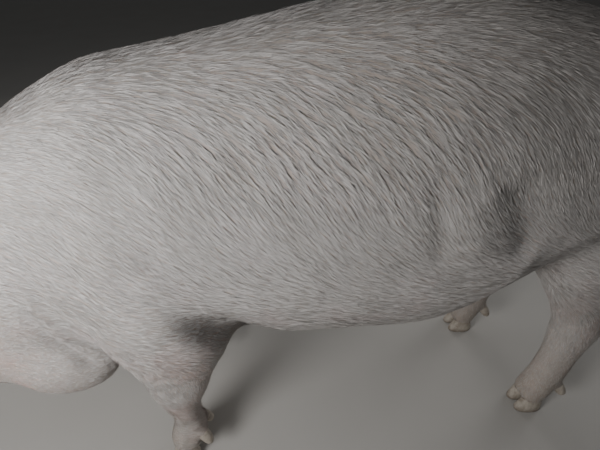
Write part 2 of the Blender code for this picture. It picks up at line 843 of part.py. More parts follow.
def main():
    clear_scene()
    core = fuse(core_pieces(), "core", 0.014, 22)
    body = fuse([core] + lean_pieces() + ear_roots(), "body", 0.0075, 7)
    body = thinned(body)
    tree = tree_of(body)
    eyes = eye_frames(tree)
    path = mouth_path(tree)
    up = head_matrix().to_3x3() @ Vector((0, 0, 1))
    parts = divided(body)

    head = combine(parts["head"], lid_mounds(eyes) + lip_tubes(path, up), "UNION")
    balls = [
        ellipsoid(f"eye_{'left' if side < 0 else 'right'}", centre, (eye_radius,) * 3, detail=3)
        for side, (centre, axes) in eyes.items()
    ]
    line = ribbon("line", path, 0.012, 0.02, 0.0025, up)
    tools = [grown(ball) for ball in balls] + lid_slits(eyes) + [line]
    head = keep_largest(combine(head, tools, "DIFFERENCE"))
    parts["head"] = head

    snout = snout_disc()
    ears = []
    for side, name in ((-1, "ear_left"), (1, "ear_right")):
        ear = sheet(name, 10, 12, ear_shape(side), 0.0055)
        ears.append(cut_by(ear, [head]))
    end = cut_by(tail(), [parts["torso"]])
    sack = cut_by(scrotum(), [parts["torso"], parts["hindleg_left"], parts["hindleg_right"]])

    claws = []
    for side, word in ((-1, "left"), (1, "right")):
        fore_foot = (fore_x - 0.006 + step_of(side, True), side * fore_track)
        hind_foot = (hind_x - 0.016 + step_of(side, False), side * hind_track)
        for leg, foot in (("foreleg_" + word, fore_foot), ("hindleg_" + word, hind_foot)):
            heel = 0.047 if leg.startswith("fore") else 0.058
            own = claws_of(leg.replace("leg", ""), *foot, side, heel)
            parts[leg] = cut_by(parts[leg], own)
            claws += own

    hide = material("hide", hide_colour, 0.75)
    pink = material("snout skin", snout_colour, 0.5)
    horn = material("horn", horn_colour, 0.45)
    wet = material("eye", eye_colour, 0.08)
    everything = []
    flesh = list(parts.values()) + ears + [end, sack]
    for group, look in ((flesh, hide), ([snout], pink), (claws, horn), (balls, wet)):
        for made in group:
            made.data.materials.clear()
            made.data.materials.append(look)
            everything.append(made)
    shared_shift(everything)


if __name__ == "__main__":
    main()
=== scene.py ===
# A full-grown white boar with its head lowered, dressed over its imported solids.
# Metres. X runs from the nose to the tail, -Y is the boar's left side, the floor is z = 0.
import math
import time
from functools import partial

import bmesh
import bpy
import numpy as np
from mathutils import Matrix, Vector
from mathutils.bvhtree import BVHTree
from mathutils.kdtree import KDTree


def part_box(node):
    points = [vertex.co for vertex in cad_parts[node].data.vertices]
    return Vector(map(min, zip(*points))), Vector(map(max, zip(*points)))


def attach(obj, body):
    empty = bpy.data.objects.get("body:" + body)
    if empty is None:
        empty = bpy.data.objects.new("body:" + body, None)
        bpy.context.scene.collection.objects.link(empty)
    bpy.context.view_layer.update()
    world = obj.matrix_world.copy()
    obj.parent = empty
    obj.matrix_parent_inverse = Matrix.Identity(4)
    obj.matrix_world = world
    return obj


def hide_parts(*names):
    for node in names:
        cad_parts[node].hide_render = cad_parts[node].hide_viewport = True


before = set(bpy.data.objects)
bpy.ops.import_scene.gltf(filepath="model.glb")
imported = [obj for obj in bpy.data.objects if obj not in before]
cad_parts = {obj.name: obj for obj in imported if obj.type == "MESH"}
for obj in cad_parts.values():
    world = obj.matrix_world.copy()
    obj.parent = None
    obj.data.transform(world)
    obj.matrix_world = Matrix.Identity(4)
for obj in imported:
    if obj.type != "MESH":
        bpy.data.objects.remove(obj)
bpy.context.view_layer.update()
started = time.perf_counter()


def report(words):
    print(f"{time.perf_counter() - started:6.1f} s  {words}", flush=True)


# Sizes shared by every piece. Places are given from the middle of the wheelbase, then shifted.
body = {
    "shift": (0.21689, -0.00014, 0.0),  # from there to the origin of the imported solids
    "foreX": -0.44,
    "hindX": 0.44,
    "foreTrack": 0.14,
    "hindTrack": 0.143,
    "foreStep": 0.03,  # the right fore foot stands back
    "hindStep": 0.055,  # the right hind foot stands ahead
    "headPitch": 23,  # degrees, nose down
    "headLength": 0.44,
    "pollRise": 0.214,
    "poll": (-0.80, 0.0, 0.645),
    "axisHeight": 0.62,  # middle of the trunk, for its unwrap
}
shift = Vector(body["shift"])
shiftRow = np.array(body["shift"])


# Smooth curves over the first column of keys, one for each other column.
def readBetween(keys, places):
    keys = np.array(keys, float)
    x, y = keys[:, 0], keys[:, 1:]
    rise = np.diff(y, axis=0) / np.diff(x)[:, None]
    slope = np.zeros_like(y)
    product = rise[:-1] * rise[1:]
    total = rise[:-1] + rise[1:]
    total[total == 0] = 1
    slope[1:-1] = np.where(product > 0, 2 * product / total, 0)
    slope[0], slope[-1] = rise[0], rise[-1]
    places = np.clip(np.asarray(places, float), x[0], x[-1])
    i = np.clip(np.searchsorted(x, places) - 1, 0, len(x) - 2)
    h = (x[i + 1] - x[i])[:, None]
    t = (places - x[i])[:, None] / h
    return (
        y[i] * (2 * t**3 - 3 * t**2 + 1)
        + slope[i] * h * (t**3 - 2 * t**2 + t)
        + y[i + 1] * (3 * t**2 - 2 * t**3)
        + slope[i + 1] * h * (t**3 - t**2)
    )


# 0 below low, 1 above high, eased between them.
def ramp(values, low, high):
    t = np.clip((np.asarray(values, float) - low) / (high - low), 0, 1)
    return t * t * (3 - 2 * t)


def unit(rows):
    return rows / np.maximum(np.linalg.norm(rows, axis=1, keepdims=True), 1e-9)


# Smooth noise from -1 to 1 with features about size metres across, from a repeating lattice.
def noise(points, size, seed):
    lattice = np.random.default_rng(seed).uniform(-1, 1, (24, 24, 24))
    scaled = points / size + 100.0
    low = np.floor(scaled).astype(int)
    part = scaled - low
    part = part * part * (3 - 2 * part)
    total = np.zeros(len(points))
    for corner in range(8):
        step = np.array([corner & 1, corner >> 1 & 1, corner >> 2 & 1])
        share = np.where(step, part, 1 - part).prod(1)
        total += share * lattice[tuple(((low + step) % 24).T)]
    return total


def finished(bm, name):
    mesh = bpy.data.meshes.new(name)
    bm.to_mesh(mesh)
    bm.free()
    made = bpy.data.objects.new(name, mesh)
    bpy.context.scene.collection.objects.link(made)
    return made


# The modifiers of a piece become its mesh.
def applied(piece):
    graph = bpy.context.evaluated_depsgraph_get()
    mesh = bpy.data.meshes.new_from_object(piece.evaluated_get(graph))
    old = piece.data
    piece.modifiers.clear()
    piece.data = mesh
    mesh.name = piece.name
    bpy.data.meshes.remove(old)
    return piece


# Rows of a field of a mesh, such as the places of its points.
def rowsOf(items, field, width, kind=np.float32):
    rows = np.empty(len(items) * width, kind)
    items.foreach_get(field, rows)
    return rows.reshape(-1, width)


def pointsOf(piece):
    return rowsOf(piece.data.vertices, "co", 3).astype(float)


def normalsOf(piece):
    return rowsOf(piece.data.vertex_normals, "vector", 3).astype(float)


def edgesOf(piece):
    return rowsOf(piece.data.edges, "vertices", 2, np.int32)


def shadeSmooth(piece):
    piece.data.polygons.foreach_set("use_smooth", np.ones(len(piece.data.polygons), bool))


def movePoints(piece, rows):
    piece.data.vertices.foreach_set("co", rows.astype(np.float32).ravel())
    piece.data.update()


def treeOf(piece):
    return BVHTree.FromObject(piece, bpy.context.evaluated_depsgraph_get())


# The edges of a ring of points.
def edgesAt(ring):
    return list({e for v in ring for e in v.link_edges})


# Joins loops of edges in turn, and caps both ends or closes the whole to a ring.
def bridged(bm, loops, closed=False):
    for first, second in zip(loops[-1:] + loops, loops) if closed else zip(loops, loops[1:]):
        bmesh.ops.bridge_loops(bm, edges=first + second)
    if not closed:
        for end in (loops[0], loops[-1]):
            bmesh.ops.contextual_create(bm, geom=end)


# Carries a way across the path along it, square to it at each point.
def carried(ways):
    across = ways[0].orthogonal().normalized()
    for way in ways:
        across = (across - way * across.dot(way)).normalized()
        yield across


# Skins rings of (centre, across, up, half across, reach up, reach down) into bm.
def loftInto(bm, rings, sides, square=2.0):
    loops = []
    for centre, across, up, half, above, below in rings:
        ring = bmesh.ops.create_circle(bm, segments=sides, radius=1.0)["verts"]
        for v in ring:
            a = math.atan2(v.co.y, v.co.x)
            c, s = math.cos(a), math.sin(a)
            side = math.copysign(abs(c) ** (2 / square), c) * half
            lift = math.copysign(abs(s) ** (2 / square), s) * (above if s > 0 else below)
            v.co = Vector(centre) + Vector(across) * side + Vector(up) * lift
        loops.append(edgesAt(ring))
    bridged(bm, loops)


def tubeInto(bm, points, radii, sides=12):
    ways = [(b - a).normalized() for a, b in zip(points[:1] + points, points[1:] + points[-1:])]
    rings = []
    for here, way, across, radius in zip(points, ways, carried(ways), radii):
        rings.append((here, across, way.cross(across), radius, radius, radius))
    loftInto(bm, rings, sides)


def ballInto(bm, centre, radii, turn=Matrix.Identity(3), detail=3):
    place = Matrix.Translation(centre) @ turn.to_4x4() @ Matrix.Diagonal((*radii, 1))
    bmesh.ops.create_icosphere(bm, subdivisions=detail, radius=1.0, matrix=place)


# Closed shells in one bmesh, made an object with its faces outwards.
def shells(bm, name):
    bmesh.ops.recalc_face_normals(bm, faces=bm.faces)
    bmesh.ops.triangulate(bm, faces=bm.faces)
    return finished(bm, name)


def turned(pitch):
    return Matrix.Rotation(math.radians(-pitch), 3, "Y")


# A way or place given for the right side, on either side.
def onSideOf(row, side):
    return Vector((row[0], row[1] * side, row[2]))


def headMatrix():
    turn = Matrix.Rotation(math.radians(-body["headPitch"]), 4, "Y")
    reach = turn @ Vector((body["headLength"], 0, body["pollRise"]))
    return Matrix.Translation(Vector(body["poll"]) + shift - reach) @ turn


head = headMatrix()
headTurn = head.to_3x3()
headUp = headTurn @ Vector((0, 0, 1))


# Points in the frame of the head: back from the snout disc, to the side, up.
def toHead(points):
    return (points - np.array(head.translation)) @ np.array(headTurn)


# Eyes: each ball stays where its solid is.
eye = {
    "radius": 0.0128,
    "out": (-0.42, 0.86, 0.28),  # the way it looks, in the frame of the head
    "forward": (-1.0, -0.35, -0.30),  # towards its front corner
    "openHalf": 0.0132,  # half width of the opening between the lids
    "openUp": 0.0058,
    "corneaRise": 0.0011,
    "pupil": 0.0036,
    "iris": 0.0082,
    "mound": (0.0400, 0.0158, 0.0300),  # the lids swell by this over the ball
    # flesh above and below: place (forward, out, up) and radii
    "brow": ((-0.004, -0.007, 0.023), (0.044, 0.0185, 0.0115)),
    "pouch": ((-0.012, -0.016, -0.026), (0.040, 0.0160, 0.0120)),
    "moundPlace": (-0.003, 0.0002, 0.001),
    "slit": ((0, 0.014, -0.0003), (0.0135, 0.0110, 0.0062)),  # cut between the lids, the same way
    "rim": 0.0017,  # radius of the edge of the lids
}


def eyeFrame(side):
    low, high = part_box("eye_left" if side < 0 else "eye_right")
    out = (headTurn @ onSideOf(eye["out"], side)).normalized()
    forward = headTurn @ onSideOf(eye["forward"], side)
    forward = (forward - out * forward.dot(out)).normalized()
    up = forward.cross(out) * -side
    return (low + high) / 2, Matrix((forward, out, up)).transposed()


eyeFrames = {side: eyeFrame(side) for side in (-1, 1)}

# Ears: upright cupped sheets, each on a thick root.
ear = {
    "base": (0.412, 0.105, 0.150),  # in the frame of the head
    "along": (-0.20, 0.62, 0.76),
    "opening": (-0.86, 0.40, -0.10),
    "length": 0.255,
    "sunk": 0.16,  # share of the sheet under the root
    "lean": (0.018, 0.030),  # of the middle sheet: back at its root, forward at its tip
    "rootPlace": (0, -0.017, -0.030),  # a ball of flesh, across, towards the opening and along
    "rootRadii": (0.041, 0.031, 0.042),
    "thick": [(0.0, 0.017), (0.15, 0.014), (0.30, 0.010), (0.50, 0.0070), (0.80, 0.0054), (1.0, 0.0040)],
    # along the ear, half width, half wrap
    "keys": [
        (0.0, 0.050, 2.05), (0.15, 0.056, 1.80), (0.35, 0.067, 1.35), (0.55, 0.066, 1.05), (0.75, 0.051, 0.85),
        (0.90, 0.030, 0.75), (1.0, 0.007, 0.70),
    ],
}


def earFrame(side):
    along = onSideOf(ear["along"], side).normalized()
    opening = onSideOf(ear["opening"], side)
    opening = (opening - along * opening.dot(along)).normalized()
    across = opening.cross(along) * side
    return head @ onSideOf(ear["base"], side), Matrix((across, opening, along)).transposed()


# A reach towards the opening, leaned with the middle sheet at a share of the ear's length.
def leaned(reach, along):
    root, tip = ear["lean"]
    return reach - root * (1 - along) + tip * along**2


# Where each point lies on an ear: share along it, share across it, and distance off its middle sheet.
def onEar(points, side):
    base, axes = earFrame(side)
    local = (points - np.array(base)) @ np.array(axes)
    along = local[:, 2] / ear["length"] + ear["sunk"]
    width, wrap = readBetween(ear["keys"], along).T
    radius = width / wrap
    forward = local[:, 1] - leaned(radius, along)
    turn = np.arctan2(local[:, 0], -forward)
    off = np.hypot(local[:, 0], forward) - radius
    return along, turn / wrap, off


def earInto(bm, side, around=64, rows=48):
    base, axes = earFrame(side)
    loops = []
    for u in np.linspace(0, 1, rows):
        width, wrap = readBetween(ear["keys"], [u])[0]
        half = readBetween(ear["thick"], [u])[0, 0] / 2
        ring = bmesh.ops.create_circle(bm, segments=around, radius=1)["verts"]
        for v in ring:
            turn = v.co.x * wrap
            reach = width / wrap + math.copysign(abs(v.co.y) ** 0.5, v.co.y) * half
            forward = leaned(width / wrap - reach * math.cos(turn), u)
            v.co = base + axes @ Vector((reach * math.sin(turn), forward, (u - ear["sunk"]) * ear["length"]))
        loops.append(edgesAt(ring))
    bridged(bm, loops)


# Tail: a straight root, then a curl.
tail = {
    "root": (0.628, 0.0, 0.795),
    "axis": (0.86, 0.22, -0.46),
    "lift": (0.46, 0.0, 0.86),
    "inside": (-0.066, -0.044, -0.022),  # points of its root inside the rump
    "curl": 0.032,
    "reach": 0.095,  # from the root to the end of the curl
    "turns": 1.5,
    "start": -0.9,  # radians at which the curl begins
    "rootRadius": 0.0185,
    "tipRadius": 0.0057,
}


def tailPath(count=27):
    axis = Vector(tail["axis"]).normalized()
    lift = Vector(tail["lift"]).normalized()
    lift = (lift - axis * lift.dot(axis)).normalized()
    flank = axis.cross(lift)
    root = Vector(tail["root"])
    points = [root + Vector((x, 0, -0.012)) for x in tail["inside"]]
    for i in range(count):
        t = i / (count - 1)
        radius = tail["curl"] * min(1.0, t * 3.0) * (1 - 0.25 * t)
        a = t * tail["turns"] * 2 * math.pi + tail["start"]
        around = (lift * math.cos(a) + flank * math.sin(a)) * radius
        points.append(root + axis * (0.012 + tail["reach"] * t) + around)
    for _ in range(4):
        inner = [(a + b * 2 + c) / 4 for a, b, c in zip(points, points[1:], points[2:])]
        points = [points[0]] + inner + [points[-1]]
    return [p + shift for p in points]


def tailRadii(count):
    drop = tail["rootRadius"] - tail["tipRadius"]
    return [tail["rootRadius"] - drop * (i / (count - 1)) ** 0.75 for i in range(count)]


# Claws: height, reach ahead, reach behind, half width.
claw = {
    "apart": 0.0198,
    "ahead": 0.006,
    "splay": 4,
    "keys": [
        (0.0, 0.0375, 0.0255, 0.0150), (0.0012, 0.0390, 0.0272, 0.0168), (0.004, 0.0395, 0.0285, 0.0178),
        (0.016, 0.0345, 0.0280, 0.0178), (0.030, 0.0270, 0.0250, 0.0170), (0.044, 0.0190, 0.0200, 0.0150),
        (0.050, 0.0120, 0.0140, 0.0110),
    ],
    "smallPlace": (0.022, 0.086),  # to the side, height
    "smallHeel": {"fore": 0.047, "hind": 0.058},
    "smallWay": (0.50, 0.26, -0.82),
    "smallLength": 0.035,
    "padRadii": (0.019, 0.0165, 0.021),
    "smallRadii": [0.0128, 0.0134, 0.0122, 0.0094, 0.0050],
}


# The four feet by name, each as the place on the floor between its main claws.
def feet():
    made = {}
    for side, word in ((-1, "Left"), (1, "Right")):
        step = (body["foreStep"], -body["hindStep"]) if side > 0 else (0.0, 0.0)
        made["fore" + word] = Vector((body["foreX"] - 0.006 + step[0], side * body["foreTrack"], 0)) + shift
        made["hind" + word] = Vector((body["hindX"] - 0.016 + step[1], side * body["hindTrack"], 0)) + shift
    return made


# The skin: the soft solids made one smooth form, then given finer parts and folds.
skin = {
    "flesh": ["head", "neck", "torso", "foreleg_left", "foreleg_right", "hindleg_left", "hindleg_right"],
    "formVoxel": 0.0065,
    "formRounds": 11,
    "fineVoxel": 0.0034,
    "fineRounds": 8,
    "triangles": 146000,
    # flesh that bridges the crease between flank and thigh: place, radius
    "bridge": [
        (0.226, 0.222, 0.560, 0.012), (0.250, 0.221, 0.588, 0.021), (0.285, 0.219, 0.602, 0.024),
        (0.330, 0.213, 0.610, 0.025), (0.385, 0.200, 0.612, 0.018),
    ],
    "uneven": [(0.0022, 0.14, 1), (0.0008, 0.04, 2)],  # height, distance across and seed
    "looseWrinkle": 0.0006,
    "seam": (0.0018, 0.004),  # of the scrotum: depth, width
    "top": (0.037, 0.16),  # of the claws, where the hide ends: its height, and its slope down to the heel
    # depth of the coat over the skin
    "bodyCoat": 0.0042,
    "faceCoat": 0.0022,
    "earCoat": 0.0009,
    "footCoat": 0.0020,
}


def keepLargest(piece):
    mesh = piece.data
    edges = edgesOf(piece)
    label = np.arange(len(mesh.vertices))
    while True:
        low = np.minimum(label[edges[:, 0]], label[edges[:, 1]])
        fresh = label.copy()
        np.minimum.at(fresh, edges[:, 0], low)
        np.minimum.at(fresh, edges[:, 1], low)
        fresh = fresh[fresh]
        if (fresh == label).all():
            break
        label = fresh
    names, sizes = np.unique(label, return_counts=True)
    spare = set(np.flatnonzero(label != names[np.argmax(sizes)]).tolist())
    if spare:
        bm = bmesh.new()
        bm.from_mesh(mesh)
        bm.verts.ensure_lookup_table()
        bmesh.ops.delete(bm, geom=[bm.verts[i] for i in spare], context="VERTS")
        bm.to_mesh(mesh)
        bm.free()
    return piece


def remeshed(piece, voxel, rounds):
    remesh = piece.modifiers.new("skin", "REMESH")
    remesh.mode = "VOXEL"
    remesh.voxel_size = voxel
    ease = piece.modifiers.new("ease", "SMOOTH")
    ease.factor = 0.5
    ease.iterations = rounds
    return keepLargest(applied(piece))


def makeForm():
    bm = bmesh.new()
    sockets = [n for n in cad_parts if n.startswith(("claw", "eye"))]  # filled by what stands in them
    for name in skin["flesh"] + sockets:
        bm.from_mesh(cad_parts[name].data)
    bmesh.ops.remove_doubles(bm, verts=bm.verts, dist=1e-6)
    extra = bmesh.new()
    for side in (-1, 1):
        ahead = body["hindStep"] * (side > 0)
        places = [Vector((x - ahead, side * y, z)) + shift for x, y, z, _ in skin["bridge"]]
        tubeInto(extra, places, [radius for *_, radius in skin["bridge"]], 20)
    bridge = shells(extra, "bridge")
    bm.from_mesh(bridge.data)
    bpy.data.objects.remove(bridge)
    return remeshed(finished(bm, "form"), skin["formVoxel"], skin["formRounds"])


form = makeForm()
formTree = treeOf(form)
report(f"soft form: {len(form.data.vertices)} points")


def hit(start, way, tree=formTree):
    return tree.ray_cast(Vector(start), Vector(way).normalized())[0]


# Points of the flank at side views (x, z), from the middle of the wheelbase.
def onSide(side, places):
    found = [hit(Vector((x, side * 0.6, z)) + shift, (0, -side, 0)) for x, z in places]
    return [p for p in found if p is not None]


# Points of the head at (back from the snout, degrees round from its top).
def onHead(side, places):
    found = []
    for s, angle in places:
        a = math.radians(angle)
        middle = Vector((s, 0, 0.02 if s > 0.2 else 0.0))
        out = Vector((0, side * math.sin(a), math.cos(a)))
        found.append(hit(head @ (middle + out * 0.5), headTurn @ -out))
    return [p for p in found if p is not None]


mouth = {
    "back": 0.185,
    "level": -0.034,
    "turn": math.radians(74),
    "drop": 0.135,
    # lift, radius, sunk in front
    "upperLip": (0.0050, 0.0056, 0.0),
    "lowerLip": (-0.0040, 0.0040, 0.0035),
    "lipSunk": 0.0047,
    "lipEnd": 0.0026,  # radius at the corners of the mouth
    "cut": (-0.012, 0.02, 0.0011),  # the gap between the lips: from, to and half its height
}


def mouthPath(count=41):
    points = []
    for angle in np.linspace(-mouth["turn"], mouth["turn"], count):
        way = headTurn @ Vector((-math.cos(angle), math.sin(angle), -mouth["drop"] * math.cos(angle)))
        found = hit(head @ Vector((mouth["back"], 0, mouth["level"])), way)
        points.append((found, way.normalized()))
    return points


mouthLine = mouthPath()


# Balls that make the scrotum: behind the hind feet, to the side, up, then radii and tilt.
scrotum = [
    ((0.163, 0.0, 0.605), (0.054, 0.058, 0.074), -12),
    ((0.150, 0.0, 0.665), (0.045, 0.050, 0.055), -12),
    ((0.172, -0.038, 0.600), (0.057, 0.046, 0.077), -14),
    ((0.172, 0.038, 0.600), (0.057, 0.046, 0.077), -14),
]


def scrotumInto(bm):
    for (behind, aside, up), radii, tilt in scrotum:
        ballInto(bm, Vector((body["hindX"] + behind, aside, up)) + shift, radii, turned(tilt), 4)


# Teats: two rows that stand a little wider towards the back.
teat = {
    "pairs": 7,
    "first": -0.29,
    "apart": 0.072,
    "aside": 0.078,
    "widen": 0.003,
    "radii": (0.0048, 0.0048, 0.0095),
}


def teatsInto(bm):
    for side in (-1, 1):
        for i in range(teat["pairs"]):
            x = teat["first"] + teat["apart"] * i
            found = hit(Vector((x, side * (teat["aside"] + teat["widen"] * i), 0.0)) + shift, (0, 0, 1))
            if found is not None:
                ballInto(bm, found, teat["radii"], detail=2)


def earRootsInto(bm):
    for side in (-1, 1):
        base, axes = earFrame(side)
        ballInto(bm, base + axes @ Vector(ear["rootPlace"]), ear["rootRadii"], axes)


# Fleshy pads that the small claws grow from.
def padsInto(bm):
    across, up = claw["smallPlace"]
    for name, foot in feet().items():
        for side in (-1, 1):
            behind = foot.x + claw["smallHeel"][name[:4]] - 0.006
            place = Vector((behind, foot.y + side * (across - 0.002), up + 0.006))
            ballInto(bm, place, claw["padRadii"], turned(35))


def makeFine():
    bm = bmesh.new()
    bm.from_mesh(form.data)
    detail = bmesh.new()
    for centre, axes in eyeFrames.values():
        for place, radii in (eye["brow"], eye["pouch"]):
            ballInto(detail, centre + axes @ Vector(place), radii, axes)
    scrotumInto(detail)
    teatsInto(detail)
    earRootsInto(detail)
    padsInto(detail)
    points = tailPath(61)
    tubeInto(detail, points, tailRadii(len(points)), 16)
    bmesh.ops.recalc_face_normals(detail, faces=detail.faces)
    parts = finished(detail, "detail")
    bm.from_mesh(parts.data)
    bpy.data.objects.remove(parts)
    return remeshed(finished(bm, "boarSkin"), skin["fineVoxel"], skin["fineRounds"])


boarSkin = makeFine()
report(f"fine form: {len(boarSkin.data.vertices)} points")


# Distance of each point to a line through the path, and its share along the path.
def nearPath(points, path):
    path = np.array([tuple(p) for p in path], float)
    best = np.full(len(points), 9.0)
    share = np.zeros(len(points))
    for i, (a, b) in enumerate(zip(path, path[1:])):
        leg = b - a
        t = np.clip((points - a) @ leg / (leg @ leg), 0, 1)
        far = np.linalg.norm(points - a - t[:, None] * leg, axis=1)
        closer = far < best
        best[closer] = far[closer]
        share[closer] = (i + t[closer]) / (len(path) - 1)
    return best, share


# Adds a fold along the path to push: below 0 it sinks, above 0 it swells. Its ends fade.
def foldInto(push, points, path, height, width, rim=0.0):
    if len(path) < 2:
        return
    rows = np.array([tuple(p) for p in path])
    reach = 4 * width
    near = ((points > rows.min(0) - reach) & (points < rows.max(0) + reach)).all(1)
    index = np.flatnonzero(near)
    if not len(index):
        return
    far, share = nearPath(points[index], path)
    fade = ramp(share, 0, 0.25) * ramp(1 - share, 0, 0.25)
    shape = height * np.exp(-((far / width) ** 2))
    shape += rim * np.exp(-(((far - 2.1 * width) / (0.9 * width)) ** 2))
    push[index] += shape * fade


# Folds of the flank, elbow, neck and jowl, in millimetres: side places (x, z), height, width and rim.
bodyFolds = [
    ([(150, 750), (165, 690), (190, 625), (205, 575)], -12.0, 36, 1.0),  # hollow of the flank
    ([(70, 770), (98, 725), (117, 680)], 1.8, 12, 0),
    ([(10, 770), (22, 715), (31, 650), (42, 575)], -4.2, 18, 0),
    ([(68, 730), (88, 655), (102, 580)], 5.0, 36, 0),
    ([(40, 634), (100, 640), (158, 620)], -1.5, 6, 0.5),
    ([(20, 606), (90, 610), (165, 590)], -1.7, 7, 0.5),
    ([(60, 572), (120, 580), (180, 560)], -1.6, 6, 0.6),
    ([(40, 545), (120, 548), (198, 560)], -1.6, 7, 0.5),
    ([(95, 516), (160, 524), (215, 565)], -1.8, 7, 0.6),
    ([(60, 492), (130, 494), (195, 520)], -1.3, 8, 0.4),
    ([(110, 460), (165, 500), (200, 550), (215, 600), (230, 650)], 3.5, 15, 0),  # edge of the stifle
    ([(-470, 625), (-420, 590), (-376, 558), (-330, 522), (-290, 484)], 4.5, 17, 0),  # over the elbow
    ([(-425, 545), (-322, 444), (-288, 408), (-262, 378), (-244, 350)], -30.0, 35, 0),  # behind the elbow
    ([(-655, 575), (-634, 505), (-618, 420), (-590, 355), (-570, 315)], -6.0, 12, 1.5),
    ([(-620, 640), (-598, 560), (-585, 480), (-575, 410)], -3.0, 13, 1.0),
    ([(-545, 700), (-535, 600), (-520, 520)], -2.0, 16, 0.5),
    ([(-670, 470), (-655, 420), (-625, 370)], -1.3, 9, 0.5),
    ([(-500, 790), (-485, 690), (-468, 600)], 3.0, 30, 0),  # edge of the shoulder blade
    ([(-470, 330), (-440, 345), (-405, 335)], -2.0, 7, 0.6),
    ([(250, 470), (275, 430), (300, 400)], -2.5, 9, 0.6),
    ([(300, 450), (330, 410), (350, 370)], -2.0, 8, 0.5),
    ([(560, 640), (570, 560), (555, 480)], -2.5, 14, 0.8),
]

# Folds of the head: (back from the snout, degrees round from its top), then height, width
# and rim in millimetres.
headFolds = [
    ([(0.019, -62), (0.014, 0), (0.019, 62)], -2.2, 2.8, 0.9),
    ([(0.031, -75), (0.026, -20), (0.027, 25), (0.032, 75)], -2.0, 3.0, 0.9),
    ([(0.047, -70), (0.040, -10), (0.043, 30), (0.047, 70)], -1.9, 3.2, 0.9),
    ([(0.063, -60), (0.056, 0), (0.061, 60)], -1.7, 3.4, 0.7),
    ([(0.082, -50), (0.075, 8), (0.081, 50)], -1.4, 3.8, 0.6),
    ([(0.103, -38), (0.097, 0), (0.103, 38)], -1.1, 4.2, 0.4),
]

# The same on each side of the head.
cheekFolds = [
    ([(0.165, 58), (0.200, 66), (0.235, 78)], -1.8, 6, 0.5),
    ([(0.190, 84), (0.240, 92), (0.290, 96)], -2.4, 8, 0.8),
    ([(0.205, 100), (0.250, 108), (0.300, 112)], -2.2, 7, 0.8),
    ([(0.180, 112), (0.205, 122), (0.235, 132)], -2.0, 5, 0.7),
    ([(0.330, 60), (0.350, 76), (0.360, 92)], -2.0, 8, 0.7),
    ([(0.370, 56), (0.392, 74), (0.402, 92)], -2.6, 8, 0.8),
    ([(0.240, 20), (0.285, 13), (0.330, 17)], -1.0, 6, 0.4),
    ([(0.262, 5), (0.300, 7), (0.345, 4)], -0.8, 5, 0.3),
    ([(0.060, 96), (0.090, 101), (0.125, 104)], -1.2, 4, 0.4),
    ([(0.300, 27), (0.350, 31), (0.385, 34)], -1.2, 7, 0.5),
    ([(0.215, 44), (0.245, 33), (0.285, 26)], -1.4, 5, 0.5),
]


# How much of each point belongs to the head and to the lower legs, from 0 to 1.
def partShares(points):
    local = toHead(points)
    plain = points - shiftRow
    headShare = 1 - ramp(local[:, 0] + 0.25 * local[:, 2], 0.47, 0.60)
    legShare = 1 - ramp(plain[:, 2], 0.20, 0.36)
    legShare *= ramp(np.abs(plain[:, 1]), 0.05, 0.075) * (1 - headShare)
    earShare = np.zeros(len(points))
    for side in (-1, 1):
        along, across, off = onEar(points, side)
        on = (np.abs(off) < 0.008) & (np.abs(across) < 1.12) & (along > 0.10) & (along < 1.05)
        on &= plain[:, 1] * side > 0
        earShare = np.maximum(earShare, on * ramp(along, 0.14, 0.26))
    path = tailPath()
    tailShare = np.zeros(len(points))
    behind = np.flatnonzero(plain[:, 0] > body["hindX"] + 0.15)
    far, share = nearPath(points[behind], path)
    reach = np.interp(share, np.linspace(0, 1, len(path)), tailRadii(len(path)))
    tailShare[behind] = (far < reach + 0.004) * ramp(share, 0.08, 0.16)
    sack = (plain[:, 0] - body["hindX"] - 0.17) / 0.066, plain[:, 1] / 0.095, (plain[:, 2] - 0.605) / 0.085
    sackShare = (1 - ramp(sack[0] ** 2 + sack[1] ** 2 + sack[2] ** 2, 0.75, 1.25)) * (1 - tailShare)
    return {"head": headShare, "leg": legShare, "ear": earShare, "tail": tailShare, "sack": sackShare}


# Rings of small creases on the legs: height, depth and width in millimetres, tilt,
# and -1 for the front, 1 for the back or 0 for all round.
legFolds = {
    "fore": [
        (0.066, 2.0, 3.5, 0.30, 1), (0.088, 1.6, 3.5, 0.20, 0), (0.108, 1.4, 4.0, 0.10, 1),
        (0.160, 1.3, 4.0, 0.00, -1), (0.178, 1.5, 4.0, 0.05, 0), (0.196, 1.5, 4.5, 0.05, -1),
        (0.215, 1.2, 5.0, 0.10, 0), (0.262, 1.6, 7.0, -0.20, 0), (0.300, 2.0, 8.0, -0.30, 0),
    ],
    "hind": [
        (0.066, 2.0, 3.5, 0.30, 1), (0.090, 1.5, 3.5, 0.20, 0), (0.112, 1.2, 4.0, 0.10, 1),
        (0.255, 1.4, 5.0, -0.35, 1), (0.280, 1.8, 5.5, -0.40, -1), (0.300, 1.8, 5.5, -0.45, -1),
        (0.322, 1.6, 6.0, -0.50, 0), (0.360, 1.6, 8.0, -0.50, -1),
    ],
}


